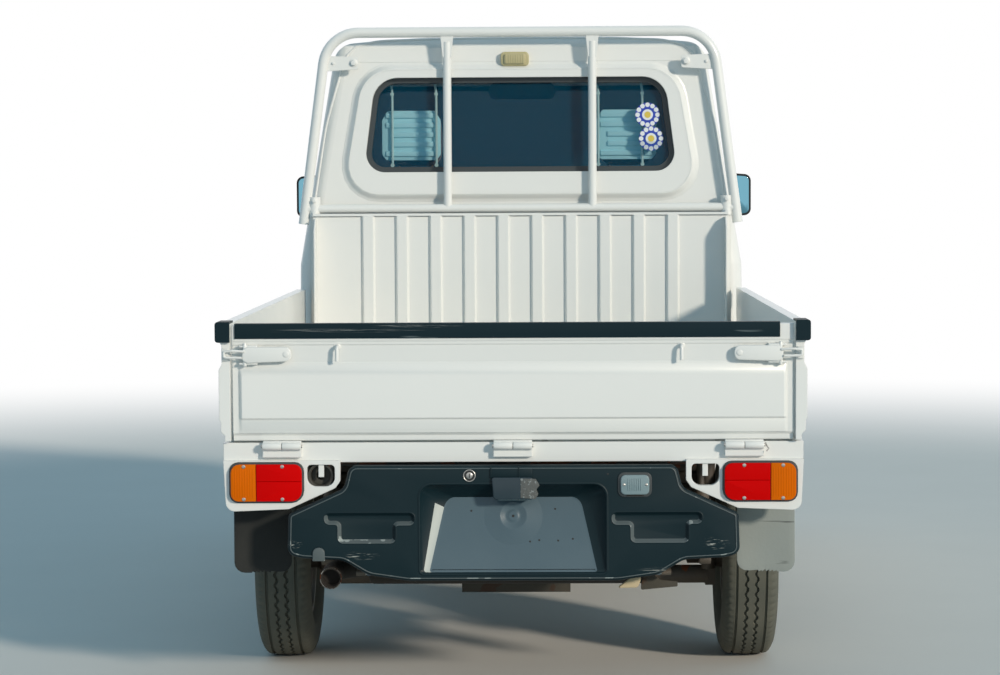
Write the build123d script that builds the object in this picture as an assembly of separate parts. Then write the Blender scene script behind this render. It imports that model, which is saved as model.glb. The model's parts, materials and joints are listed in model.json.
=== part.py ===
from build123d import *
from functools import lru_cache
import math
import os

# Kei truck with cab over the front wheels, rear engine and a drop-side bed.
# Millimetres. +Y is forward, +X is the driver's side (right), +Z is up, the ground is z = 0 and the
# origin is under the middle of the whole truck.

# Driving dimensions
LENGTH = 3295.0
BODY_HALF_WIDTH = 697.5
WHEELBASE = 1885.0
FRONT_OVERHANG = 640.0
TYRE_RADIUS = 268.0
TYRE_WIDTH = 145.0
FRONT_WHEEL_X = 610.0
REAR_WHEEL_X = 605.0
KINGPIN_X = 530.0
BED_FLOOR_Z = 655.0
GATE_TOP_Z = 925.0
BED_HALF_WIDTH = 665.0
BED_LENGTH = 1880.0
CAB_REAR_Y = 340.0
ROOF_TOP_Z = 1716.0
GUARD_TOP_Z = 1720.0
WALL = 45.0
TOWING_EYE_X = 200.0
TOWING_EYE_YZ = (1561.0, 313.0)
TOWING_EYE_R = 11.0

# Places worked out from them
FRONT_Y = LENGTH / 2
REAR_Y = -LENGTH / 2
FRONT_AXLE_Y = FRONT_Y - FRONT_OVERHANG
REAR_AXLE_Y = FRONT_AXLE_Y - WHEELBASE
AXLE_Z = TYRE_RADIUS
BED_FRONT_Y = 283.0
GATE_INNER_Y = BED_FRONT_Y - BED_LENGTH
GATE_BOTTOM_Z = BED_FLOOR_Z - 10.0
GATE_GAP = 5.0
SIDE_GATE_X = BED_HALF_WIDTH + GATE_GAP
SIDE_GATE_REAR_Y = -1625.0
SIDE_GATE_FRONT_Y = 300.0

# Chassis
RAIL_INNER_X = 300.0
RAIL_OUTER_X = 350.0
RAIL_BOTTOM_Z = 500.0
RAIL_TOP_Z = 598.0
RAIL_REAR_Y = -1560.0
CAB_RAIL_BOTTOM_Z = 380.0
FOOTWELL_Z = 460.0
DECK_Z = 638.0
DASHBOARD_HALF_WIDTH = 606.0
FLOOR_SHEET = 12.0
RISER_Y = 1322.0
SILL_TOP_Z = 640.0
SILL_BOTTOM_Z = 593.0
SILL_INNER_X = 640.0
SILL_OUTER_X = 681.0
REAR_SILL_Y = -1608.0
REAR_SILL_FRONT_Y = -1560.0

# Gates
TAILGATE_AXIS = (-1627.0, 633.0)
TAILGATE_BARREL_R = 9.0
SIDE_GATE_AXIS = (690.0, 633.0)
SIDE_GATE_BARREL_R = 8.0
GATE_HINGE_HALF = 46.0
TAILGATE_HINGES_X = (-549.0, 0.0, 549.0)
ROPE_HOOKS_X = (-408.0, 404.0)
GATE_OUT = 27.5
LAMP_PANEL_Y = -1618.0
SIDE_GATE_HINGES_Y = (-1380.0, -663.0, 60.0)

# Engine lid
LID_REAR_Y = -1636.0
LID_DEPTH = 36.0
LID_WALL = 6.0
LID_AXIS = (-1600.0, 326.0)
PLATE_HOLES_X = (-105.0, 105.0)
PLATE_HOLE_Z = 475.0
PLATE_HOLE_R = 3.5
TAIL_PIPE_Y = -1615.0
PLATE_BOSS_Y = -1606.0
LID_PIN_R = 5.0

# Cab plan sections: height, half width, front, rear, bow of the front, front and rear corner radius
CAB_SECTIONS = (
    (345.0, 686.0, 1606.0, 352.0, 30.0, 105.0, 45.0),
    (700.0, 697.5, 1622.0, 340.0, 34.0, 112.0, 45.0),
    (1000.0, 692.0, 1590.0, 340.0, 36.0, 112.0, 45.0),
    (1720.0, 569.6, 1164.0, 354.0, 34.0, 100.0, 45.0),
)
SIDE_LEAN = 0.17
WINDSCREEN_LEAN = 0.5917
CAB_BOTTOM_Z = 345.0
ROOF_CUT_Z = 1630.0
REAR_WALL_CUT_Y = 420.0
FRONT_CUT_Y = 1505.0
COWL_Z = 1000.0
ARCH_RADIUS = 335.0
ARCH_STRIP_RADIUS = 358.0
DOOR_ARCH_RADIUS = 370.0
DOOR_FRONT_Y = 1500.0
DOOR_REAR_Y = 610.0
DOOR_TOP_Z = 1588.0
DOOR_GAP = 5.0
DOOR_AXIS = (697.0, 1500.0)
DOOR_HINGES_Z = (560.0, 850.0)
DOOR_BARREL_R = 5.0
DOOR_TOP_REAR_GAP = 12.0


def box(x0, x1, y0, y1, z0, z1):
    """Box between two corners."""
    return Pos((x0 + x1) / 2, (y0 + y1) / 2, (z0 + z1) / 2) * Box(x1 - x0, y1 - y0, z1 - z0)


def side_prism(face, x0, x1):
    """Prism of a face drawn in (y, z)."""
    return extrude(Plane.YZ.offset(x0) * face, x1 - x0)


def front_prism(face, y0, y1):
    """Prism of a face drawn in (x, z)."""
    return extrude(Plane.XZ.offset(-y1) * face, y1 - y0)


def plan_prism(face, z0, z1):
    """Prism of a face drawn in (x, y)."""
    return extrude(Plane.XY.offset(z0) * face, z1 - z0)


def outline(*points):
    """Face inside a closed run of straight lines."""
    return make_face(Polyline(*points, close=True))


def round_outline(points, radii):
    """Face inside a closed run of lines with the given corner radii."""
    return make_face(FilletPolyline(*points, radius=radii, close=True))


def rod(start, end, radius):
    """Round bar between two points."""
    axis = Vector(*end) - Vector(*start)
    bar = Cylinder(radius, axis.length, align=(Align.CENTER, Align.CENTER, Align.MIN))
    return Plane(origin=start, z_dir=axis) * bar


def tube(points, bends, radius):
    """Round bar along straight runs with the given bend radii."""
    path = FilletPolyline(*points, radius=bends)
    return sweep(Plane(origin=path @ 0, z_dir=path % 0) * Circle(radius), path=path)


def both_sides(shape):
    """The shape and its mirror image on the left."""
    return [shape, mirror(shape, about=Plane.YZ)]


# Chassis


def frame_rails():
    """Two rails that step down under the cab, with the cab's mounting blocks and the engine lid's straps."""
    profile = outline(
        (RAIL_REAR_Y, RAIL_BOTTOM_Z), (RAIL_REAR_Y, RAIL_TOP_Z), (1215, RAIL_TOP_Z),
        (1290, FOOTWELL_Z), (1535, FOOTWELL_Z), (1535, CAB_RAIL_BOTTOM_Z),
        (1250, CAB_RAIL_BOTTOM_Z), (1170, RAIL_BOTTOM_Z),
    )
    rail = side_prism(profile, RAIL_INNER_X, RAIL_OUTER_X)
    for y in (450, 1090):
        rail += box(RAIL_INNER_X, RAIL_OUTER_X, y, y + 60, RAIL_TOP_Z, DECK_Z)
    return both_sides(rail + lid_strap())


def lid_strap():
    """Strap from the right rail's end down to the lid's hinge pin."""
    y, z = LID_AXIS
    strap = box(RAIL_INNER_X, 376, RAIL_REAR_Y - 6, RAIL_REAR_Y, 505, 590)
    strap += box(354, 376, RAIL_REAR_Y - 6, RAIL_REAR_Y, z - 7, 510)
    strap += box(354, 376, y, RAIL_REAR_Y, z - 7, z + 7)
    strap += rod((354, y, z), (376, y, z), 7)
    return strap - rod((350, y, z), (380, y, z), LID_PIN_R + 0.4)


def cross_members():
    """Cross members between the rails, the front one with a towing eye."""
    places = ((-1560, 510, 590), (-700, 510, 590), (0, 510, 590), (420, 510, 590), (1130, 510, 590))
    members = [box(-RAIL_INNER_X, RAIL_INNER_X, y, y + 40, z0, z1) for y, z0, z1 in places]
    front = box(-RAIL_INNER_X, RAIL_INNER_X, 1490, 1530, 385, 455)
    eye = round_outline(
        [(1495, 388), (1525, 388), (1556, 332), (1582, 332), (1582, 294), (1540, 294), (1495, 345)],
        [0, 0, 10, 16, 16, 16, 10],
    )
    front += side_prism(eye, TOWING_EYE_X - 6, TOWING_EYE_X + 6)
    y, z = TOWING_EYE_YZ
    front -= rod((TOWING_EYE_X - 10, y, z), (TOWING_EYE_X + 10, y, z), TOWING_EYE_R)
    return members + [front]


def bed_floor():
    """Floor sheet with long raised ribs, and the cross beams that carry it on the rails."""
    floor = box(-BED_HALF_WIDTH, BED_HALF_WIDTH, GATE_INNER_Y + GATE_GAP, BED_FRONT_Y, SILL_TOP_Z, 650)
    for k in range(11):
        x = (k - 5) * 118
        rib = outline((x - 34, 650), (x - 29, BED_FLOOR_Z), (x + 29, BED_FLOOR_Z), (x + 34, 650))
        floor += front_prism(rib, GATE_INNER_Y + 20, BED_FRONT_Y)
    for y in (-1530, -1090, -640, -190, 215):
        floor += box(-SILL_INNER_X, SILL_INNER_X, y, y + 60, RAIL_TOP_Z, SILL_TOP_Z)
    return floor


def side_sills():
    """Side sills of the bed, the fixed leaves of the gate hinges and the rope hooks under them."""
    sill = box(SILL_INNER_X, SILL_OUTER_X, REAR_SILL_FRONT_Y, BED_FRONT_Y, SILL_BOTTOM_Z, SILL_TOP_Z)
    for y in (-1450, -1050, -650, -250, 150):
        seat = SILL_BOTTOM_Z + 2
        legs = [(660, y - 40, seat), (660, y - 40, 562), (660, y + 40, 562), (660, y + 40, seat)]
        sill += tube(legs, [18, 18], 5)
    return both_sides(sill)


def headboard():
    """Pressed headboard with ten ribs facing the bed and a post at each end."""
    panel = box(-645, 645, 293, 305, BED_FLOOR_Z, 1150)
    for k in range(10):
        x = (k - 4.5) * 105
        rib = outline((x - 21, 293), (x - 15, BED_FRONT_Y), (x + 15, BED_FRONT_Y), (x + 21, 293))
        panel += plan_prism(rib, 690, 1152)
    panel += box(-645, 645, 286, 293, 1152, 1160)
    panel += box(-645, 645, BED_FRONT_Y, 324, SILL_TOP_Z - 20, BED_FLOOR_Z)
    for side in (-1, 1):
        panel += box(side * 640 - 14, side * 640 + 14, 305, 324, SILL_TOP_Z - 20, 1150)
    return panel


def headboard_posts():
    """Folded returns at the headboard's ends, facing the bed."""
    fold = outline((633, 292.5), (633, 225), (637, 225), (637, 288), (648, 288), (648, 292.5))
    post = plan_prism(fold, BED_FLOOR_Z, 1110)
    return both_sides(post + side_prism(outline((225, 1110), (292.5, 1110), (292.5, 1145), (262, 1145)), 633, 637))


def guard_frame():
    """Tube hoop behind the cab with a cross tube, two uprights flattened at the top and brackets."""
    y = 312
    top = GUARD_TOP_Z
    foot_x, head_x = 675, 597
    hoop = tube([(-foot_x, y, 1128), (-head_x, y, top), (head_x, y, top), (foot_x, y, 1128)], [110, 110], 16)
    frame = hoop + rod((-669, y, 1175), (669, y, 1175), 13.5)
    bracket = round_outline([(500, 1607), (608, 1601), (608, 1649), (500, 1646)], [8, 0, 0, 8])
    flat = round_outline([(212, 1640), (238, 1640), (246, 1716), (204, 1716)], [6, 6, 4, 4])
    bolt = rod((515, y - 8, 1627), (515, 351, 1627), 8)
    upright = rod((225, y, 1175), (225, y, 1690), 13) + front_prism(flat, y - 9, y + 9)
    collar = rod((640, y, 1150), (640, y, 1212), 17.5)
    for shape in (front_prism(bracket, y - 3, y + 3) + bolt, upright, collar):
        for part in both_sides(shape):
            frame += part
    return frame


def rear_sill():
    """Rear sill, the fixed leaves of the tailgate hinges and the two lamp panels with their slots."""
    sill = box(-690, 690, REAR_SILL_Y, REAR_SILL_FRONT_Y, SILL_BOTTOM_Z, SILL_TOP_Z)
    panel = round_outline(
        [(690, SILL_BOTTOM_Z + 5), (411, SILL_BOTTOM_Z + 5), (411, 549), (423, 532), (534, 482), (684, 476)],
        [0, 0, 8, 12, 10, 22],
    )
    slot = round_outline([(424, 536), (490, 536), (490, 588), (424, 588)], [22, 22, 10, 10])
    pierced = front_prism(panel, LAMP_PANEL_Y, REAR_SILL_Y + 10) - front_prism(slot, -1630, -1590)
    for part in both_sides(pierced + box(450, 463, -1614, REAR_SILL_Y, 558, SILL_BOTTOM_Z + 2)):
        sill += part
    for x in TAILGATE_HINGES_X:
        leaf = box(x - GATE_HINGE_HALF, x + GATE_HINGE_HALF, -1622, REAR_SILL_Y, 606, 633)
        leaf -= rod((x - 50, *TAILGATE_AXIS), (x + 50, *TAILGATE_AXIS), TAILGATE_BARREL_R + 0.5)
        sill += leaf
    return sill


# Gates


# Sections of the gates: distance outward from the inner face, height
GATE_BASE = (
    (0, GATE_BOTTOM_Z), (14, GATE_BOTTOM_Z), (14, 658), (20, 664), (20, 874),
    (24, 880), (24, GATE_TOP_Z - 4), (0, GATE_TOP_Z - 4),
)
GATE_BULGE = (
    (12, 664), (20, 664), (23.5, 668), (23.5, 690), (GATE_OUT, 697), (GATE_OUT, 814), (20, 830), (12, 830),
)


def tailgate():
    """Tailgate with pressed face, hinge barrels, latch handles, hook bars and rope hooks."""
    base = outline(*[(GATE_INNER_Y - out, z) for out, z in GATE_BASE])
    gate = side_prism(base, -BED_HALF_WIDTH, BED_HALF_WIDTH)
    bulge = side_prism(outline(*[(GATE_INNER_Y - out, z) for out, z in GATE_BULGE]), -660, 660)
    ends = outline(
        (-651, GATE_INNER_Y - 20), (-644, GATE_INNER_Y - GATE_OUT - 1), (644, GATE_INNER_Y - GATE_OUT - 1),
        (651, GATE_INNER_Y - 20), (651, GATE_INNER_Y - 10), (-651, GATE_INNER_Y - 10),
    )
    gate += bulge & plan_prism(ends, GATE_BOTTOM_Z, GATE_TOP_Z)
    for x in TAILGATE_HINGES_X:
        left, right = x - GATE_HINGE_HALF, x + GATE_HINGE_HALF
        gate += rod((left, *TAILGATE_AXIS), (right, *TAILGATE_AXIS), TAILGATE_BARREL_R)
        gate += box(x - GATE_HINGE_HALF, x + GATE_HINGE_HALF, -1622, -1610, 633, 662)
    for part in both_sides(latch()):
        gate += part
    for x in ROPE_HOOKS_X:
        gate += tube([(x, -1612, 869), (x, -1636, 869), (x, -1636, 834)], [7], 4.5)
    return gate


def tailgate_rubber():
    """Rubber strip folded over the tailgate's top rail, short at its right end."""
    strip = outline(
        (GATE_INNER_Y - 24, 889), (GATE_INNER_Y - GATE_OUT, 889), (GATE_INNER_Y - GATE_OUT, GATE_TOP_Z),
        (GATE_INNER_Y, GATE_TOP_Z), (GATE_INNER_Y, GATE_TOP_Z - 4), (GATE_INNER_Y - 24, GATE_TOP_Z - 4),
    )
    return side_prism(strip, -659, 633)


def latch():
    """Right latch of the tailgate: flat handle, its bracket and the bar that hooks the side gate."""
    lever = round_outline([(524, 836), (628, 832), (628, 870), (524, 870)], [10, 4, 4, 10])
    core = round_outline([(560, 842), (640, 838), (640, 864), (560, 864)], [4, 4, 4, 4])
    handle = front_prism(lever, -1638, -1628) + front_prism(core, -1634, -1616)
    bracket = box(608, 648, -1634, -1616, 832, 870)
    return handle + bracket + box(640, 686, -1643, -1637, 842, 862) + box(640, 648, -1643, -1630, 842, 862)


def side_gate():
    """Right side gate with its hinge barrels, the striker at its rear end and the front latch."""
    base = outline(*[(SIDE_GATE_X + out, z) for out, z in GATE_BASE])
    gate = front_prism(base, SIDE_GATE_REAR_Y, SIDE_GATE_FRONT_Y)
    bulge = outline(*[(SIDE_GATE_X + out, z) for out, z in GATE_BULGE])
    gate += front_prism(bulge, SIDE_GATE_REAR_Y, SIDE_GATE_FRONT_Y)
    gate += box(SIDE_GATE_X, BODY_HALF_WIDTH, SIDE_GATE_REAR_Y, SIDE_GATE_FRONT_Y, 880, GATE_TOP_Z)
    x, z = SIDE_GATE_AXIS
    for y in SIDE_GATE_HINGES_Y:
        gate += rod((x, y - GATE_HINGE_HALF, z), (x, y + GATE_HINGE_HALF, z), SIDE_GATE_BARREL_R)
        gate += box(682, 690, y - GATE_HINGE_HALF, y + GATE_HINGE_HALF, z, 660)
    gate += box(674, 688, -1632, SIDE_GATE_REAR_Y, 838, 866)
    gate += box(686, BODY_HALF_WIDTH, 230, 290, 845, 872)
    return gate


def side_gate_cap():
    """Rubber cap over the rear top corner of the right side gate."""
    cap = box(SIDE_GATE_X, 704.5, -1636, -1560, 881, 930)
    cap = fillet(cap.edges().filter_by(Axis.Y).sort_by(Axis.X)[-2:], 7)
    core = box(SIDE_GATE_X - 1, BODY_HALF_WIDTH, SIDE_GATE_REAR_Y, -1500, 860, GATE_TOP_Z)
    return cap - core


# Engine lid


# Lid outline, right half from the top down: x, z and corner radius
LID_CORNERS = (
    (388, 588, 22), (402, 533, 24), (535, 472, 14), (538, 374, 22), (500, 365, 40),
    (405, 360, 40), (345, 331, 60), (250, 320, 120),
)
# Mouth and sunk floor of the plate recess: bottom and top half width, bottom and top z, corner radius
RECESS_MOUTH = (225, 225, 336, 546, 26)
RECESS_FLOOR = (199, 160, 343, 506, 12)
RECESS_DEPTH_TOP = 45.0
RECESS_DEPTH_BOTTOM = 4.0
LID_BAND = (
    (229, 441), (229, 472), (448, 472), (448, 446), (410, 441), (410, 399), (285, 399), (285, 441),
)


def lid_face(shrink=0.0):
    """Outline of the lid in (x, z), the same on both sides."""
    right = [(x - shrink, z - shrink if z > 500 else z + shrink, r) for x, z, r in LID_CORNERS]
    left = [(-x, z, r) for x, z, r in reversed(right)]
    rows = right + left
    return round_outline([(x, z) for x, z, r in rows], [max(r - shrink, 4) for x, z, r in rows])


def recess_solid(grow=0.0):
    """Solid of the sunk plate space: ruled from its mouth to its tilted floor, or that of its wall."""
    foot, head, z0, z1, radius = RECESS_MOUTH
    low, high = z0 - grow, z1 + grow
    mouth = round_outline(
        [(-foot - grow, low), (foot + grow, low), (head + grow, high), (-head - grow, high)],
        [radius / 2 + grow, radius / 2 + grow, radius + grow, radius + grow],
    )
    foot, head, f0, f1, radius = RECESS_FLOOR
    near = LID_REAR_Y + RECESS_DEPTH_BOTTOM + grow
    rise = Vector(0, RECESS_DEPTH_TOP - RECESS_DEPTH_BOTTOM, f1 - f0)
    tilted = Plane(origin=(0, near, f0), x_dir=(1, 0, 0), z_dir=Vector(1, 0, 0).cross(rise))
    top = rise.length + grow
    floor = round_outline(
        [(-foot - grow, -grow), (foot + grow, -grow), (head + grow, top), (-head - grow, top)],
        [radius / 2 + grow, radius / 2 + grow, radius + grow, radius + grow],
    )
    start = Plane.XZ.offset(-LID_REAR_Y + (0 if grow else 0.5))
    return loft([start * mouth, tilted * floor], ruled=True)


def engine_lid():
    """Moulded lid, open to the front: sunk plate floor, pressed bands, lock, plate holes and hinge pins."""
    y0, y1 = LID_REAR_Y, LID_REAR_Y + LID_DEPTH
    lid = front_prism(lid_face(), y0, y1) - front_prism(lid_face(LID_WALL), y0 + LID_WALL, y1 + 1)
    lid += recess_solid(LID_WALL)
    for band in both_sides(front_prism(round_outline(LID_BAND, [5, 9, 9, 5, 9, 9, 9, 9]), y0 - 1, y0 + 6)):
        lid += band_backing(band)
        lid -= band
    lid -= recess_solid()
    lid += rod((-103, y0 - 3, 563), (-103, y0 + 2, 563), 14.5)
    lid -= rod((-103, y0 - 4, 563), (-103, y0 - 1, 563), 9)
    tab = round_outline([(-477, 362), (-448, 362), (-448, 392), (-477, 392)], [3, 3, 13, 13])
    lid += front_prism(tab, y0 - 5, y0 + 1)
    for x in PLATE_HOLES_X:
        lid += box(x - 12, x + 12, PLATE_BOSS_Y, PLATE_BOSS_Y + 14, PLATE_HOLE_Z - 12, PLATE_HOLE_Z + 12)
        lid -= rod((x, PLATE_BOSS_Y - 5, PLATE_HOLE_Z), (x, PLATE_BOSS_Y + 20, PLATE_HOLE_Z), PLATE_HOLE_R)
    y, z = LID_AXIS
    for pin in both_sides(rod((334, y, z), (376, y, z), LID_PIN_R) + box(334, 350, y - 6, y + 6, z - 6, 345)):
        lid += pin
    return lid


def band_backing(band):
    """Backing of a pressed band, one wall thickness outside it."""
    low, high = band.bounding_box().min, band.bounding_box().max
    return box(low.X - 5, high.X + 5, low.Y + 2, high.Y + 5, low.Z - 5, high.Z + 5)


def lid_lamps():
    """Number plate lamp with its hood, broken at the right end, and reversing lamp."""
    hood = round_outline([(-52, 512), (50, 512), (57, 530), (48, 560), (-46, 560)], [6, 4, 3, 4, 8])
    plate_lamp = front_prism(hood, LID_REAR_Y - 8, LID_REAR_Y + 20) - engine_lid()
    reversing = round_outline([(254, 516), (324, 516), (324, 565), (254, 565)], [12, 12, 12, 12])
    return plate_lamp, front_prism(reversing, REAR_Y, LID_REAR_Y)


def tail_lamps():
    """Red and amber lamps on the right lamp panel."""
    red = round_outline([(502, 590), (502, 502), (610.7, 502), (610.7, 590)], [8, 24, 1, 1])
    amber = round_outline([(611.3, 590), (611.3, 502), (671, 502), (671, 590)], [1, 1, 9, 12])
    return front_prism(red, -1632, LAMP_PANEL_Y), front_prism(amber, -1632, LAMP_PANEL_Y)


# Wheels: the axis is X, outboard is +X and the middle of the tyre is at 0


def tyre():
    """Solid tyre ring that seats between the rim flanges."""
    half = (
        (50, 155), (50, 166), (64, 182), (TYRE_WIDTH / 2, 212),
        (71, 238), (61, 259), (50, 266.5), (0, TYRE_RADIUS),
    )
    points = list(half) + [(-x, r) for x, r in reversed(half[:-1])]
    return revolve(Plane.XY * outline(*points), Axis.X)


def rim():
    """Steel rim with dished disc, eight vents, brake drum and hub."""
    barrel = outline(
        (54, 150), (54, 166), (50, 166), (50, 155), (-50, 155), (-50, 166), (-54, 166), (-54, 150),
    )
    disc = outline(
        (38, 15), (38, 78), (50, 100), (50, 118), (34, 151),
        (28, 151), (44, 116), (44, 102), (32, 82), (32, 15),
    )
    drum = outline((-42, 15), (-42, 100), (32, 100), (32, 15))
    hub = outline((32, 15), (32, 28), (60, 28), (60, 15))
    wheel = revolve(Plane.XY * barrel, Axis.X) + revolve(Plane.XY * disc, Axis.X)
    for k in range(8):
        angle = math.radians(45 * k + 22.5)
        wheel -= rod((20, 120 * math.cos(angle), 120 * math.sin(angle)),
                     (60, 120 * math.cos(angle), 120 * math.sin(angle)), 12)
    wheel += revolve(Plane.XY * drum, Axis.X)
    wheel += revolve(Plane.XY * hub, Axis.X)
    return wheel + rod((50, 0, 0), (64, 0, 0), 26)


def at_wheel(shape, x, y):
    """Places a right-hand wheel part, mirrored on the left."""
    placed = Pos(abs(x), y, AXLE_Z) * shape
    return placed if x > 0 else mirror(placed, about=Plane.YZ)


def knuckle():
    """Right front knuckle: upright on the kingpin line, backing plate and stub axle."""
    x, y = KINGPIN_X, FRONT_AXLE_Y
    upright = rod((x, y, 190), (x, y, 342), 15)
    plate_x = FRONT_WHEEL_X - 51
    upright += rod((x, y, AXLE_Z), (plate_x, y, AXLE_Z), 30)
    upright += rod((plate_x, y, AXLE_Z), (plate_x + 6, y, AXLE_Z), 96)
    upright += rod((plate_x, y, AXLE_Z), (FRONT_WHEEL_X + 40, y, AXLE_Z), 14.8)
    upright += box(x - 12, x + 12, y - 110, y, 215, 233)
    return upright


def front_suspension():
    """Strut with its foot over the knuckle, and the lower arm."""
    x, y = KINGPIN_X, FRONT_AXLE_Y
    house = Pos(485, y, AXLE_Z) * (Rot(0, 90, 0) * Cylinder(ARCH_RADIUS + 3, 200))
    strut = rod((485, y, 350), (485, y, 560), 22)
    strut += rod((485, y, 560), (485, y, 600), 10)
    strut += rod((485, y, 588), (485, y, 640), 42) & house
    strut += box(478, x, y - 14, y + 14, 350, 366)
    strut += rod((x, y, 344), (x, y, 366), 14)
    arm = plan_prism(outline((350, y - 90), (x - 6, y - 13), (x + 6, y + 13), (350, y + 60)), 166, 184)
    arm += rod((x, y, 160), (x, y, 188), 12)
    arm += box(330, 356, y - 90, y - 60, 160, RAIL_BOTTOM_Z)
    arm += box(330, 356, y + 30, y + 60, 160, RAIL_BOTTOM_Z)
    return both_sides(strut) + both_sides(arm)


def spring(place, low, high):
    """Coil spring between two heights, drawn as a closed column with a groove between its coils."""
    coils = 6
    pitch = (high - low) / coils
    points = [(0, low)]
    for k in range(coils):
        points += [(36, low + k * pitch), (44, low + (k + 0.3) * pitch), (44, low + (k + 0.7) * pitch)]
    points += [(36, high), (0, high)]
    return Pos(*place, 0) * revolve(Plane.XZ * outline(*points), Axis.Z)


def rear_suspension():
    """Trailing arm, hub carrier, cross tube, stub axle and damper."""
    y = REAR_AXLE_Y
    carrier = box(498, 524, y - 60, y + 60, 190, 320)
    carrier += rod((524, y, AXLE_Z), (554, y, AXLE_Z), 38)
    carrier += rod((554, y, AXLE_Z), (560, y, AXLE_Z), 96)
    carrier += rod((554, y, AXLE_Z), (REAR_WHEEL_X + 40, y, AXLE_Z), 14.8)
    carrier += rod((331, y - 40, 217), (505, y - 40, 217), 24)
    carrier += rod((340, y - 40, 217), (340, -460, 330), 20)
    carrier += rod((505, y + 20, 260), (420, -460, 330), 22)
    carrier += rod((330, -460, 330), (440, -460, 330), 26)
    carrier += box(320, 350, -490, -430, 320, RAIL_BOTTOM_Z)
    carrier += rod((505, y - 60, 235), (505, y - 75, RAIL_TOP_Z + 42), 18)
    carrier += box(RAIL_OUTER_X - 10, 505, y + 30, y + 130, 484, 500)
    carrier += spring((455, y + 80), 262, 486)
    carrier += rod((455, y + 80, 254), (455, y + 80, 266), 50) + box(455, 500, y + 30, y + 110, 235, 262)
    return both_sides(carrier - box(400, 600, -1200, -600, RAIL_TOP_Z, 700))


# Power unit


def engine_block():
    """Plain block for the engine, with the gearbox ahead of it and its mounting lugs."""
    block = box(-250, 250, -1425, -1110, 300, 570)
    block += box(-140, 140, -1110, -760, 200, 420)
    for side in (-1, 1):
        block += box(min(side * 250, side * 300), max(side * 250, side * 300), -1300, -1220, 505, 545)
    return block


def exhaust():
    """Muffler across the rear with hanger, front pipe and open tail pipe."""
    muffler = rod((-350, -1505, 345), (330, -1505, 345), 60)
    muffler = fillet(muffler.edges().filter_by(GeomType.CIRCLE), 12)
    muffler += box(-20, 20, -1545, -1535, 380, 510)
    muffler += rod((180, -1460, 380), (180, -1425, 380), 20)
    muffler += tube([(-340, -1505, 330), (-436, -1505, 322), (-436, TAIL_PIPE_Y, 315)], [48], 25)
    return muffler - rod((-436, TAIL_PIPE_Y - 2, 315), (-436, TAIL_PIPE_Y + 32, 317.3), 22)


def driveline():
    """Propeller shaft, front differential and front half shafts."""
    case = box(-80, 80, 900, 1110, 200, 340)
    case += rod((0, -758, 300), (0, 900, 270), 25)
    case += rod((-470, FRONT_AXLE_Y, AXLE_Z), (470, FRONT_AXLE_Y, AXLE_Z), 12)
    for part in both_sides(rod((430, FRONT_AXLE_Y, AXLE_Z), (500, FRONT_AXLE_Y, AXLE_Z), 32)):
        case += part
    for part in both_sides(rod((140, REAR_AXLE_Y, AXLE_Z), (498, REAR_AXLE_Y, AXLE_Z), 14)):
        case += part
    return case


def spare_wheel():
    """Spare wheel lying flat under the bed with its carrier rod."""
    ring = Pos(0, 20, 418) * (Rot(0, -90, 0) * tyre())
    disc = Pos(0, 20, 418) * (Rot(0, -90, 0) * rim())
    return ring, disc, rod((0, 20, 418), (0, 20, 510), 12)


def fuel_tank():
    """Fuel tank against the left rail, with its filler pipe and cap at the side."""
    profile = round_outline([(-640, 340), (-300, 340), (-300, 495), (-640, 495)], [30, 30, 12, 12])
    tank = side_prism(profile, -RAIL_INNER_X, -60)
    tank += tube([(-290, -550, 455), (-520, -550, 455), (-632, -550, 520)], [60], 18)
    along = Vector(-112, 0, 65).normalized()
    mouth = Vector(-632, -550, 520)
    return tank + rod(mouth - along * 6, mouth + along * 20, 31)


def mudflaps():
    """Rear mud flaps with their hangers."""
    flap = box(539, 672, -1519, -1511, 339, 486) + box(642, 668, -1519, -1511, 480, SILL_BOTTOM_Z)
    return both_sides(flap)


# Cab


def cab_section(row, inset):
    """Plan section of the cab: bowed front, straight sides and rounded corners."""
    z, half_width, front, rear, bow, front_radius, rear_radius = row
    w, f, r = half_width - inset, front - inset, rear + inset
    nose = ThreePointArc((w, f - bow), (0, f), (-w, f - bow))
    back = Polyline((-w, f - bow), (-w, r), (w, r), (w, f - bow))
    face = make_face([nose, back]).faces()[0]
    corners = face.vertices().sort_by(Axis.Y)
    face = face.fillet_2d(max(front_radius - inset, 30), corners[-2:])
    rear_corners = face.vertices().filter_by(lambda v: abs(v.Y - r) < 0.01)
    face = face.fillet_2d(max(rear_radius - inset, 8), rear_corners)
    return Pos(0, 0, z) * face


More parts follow.
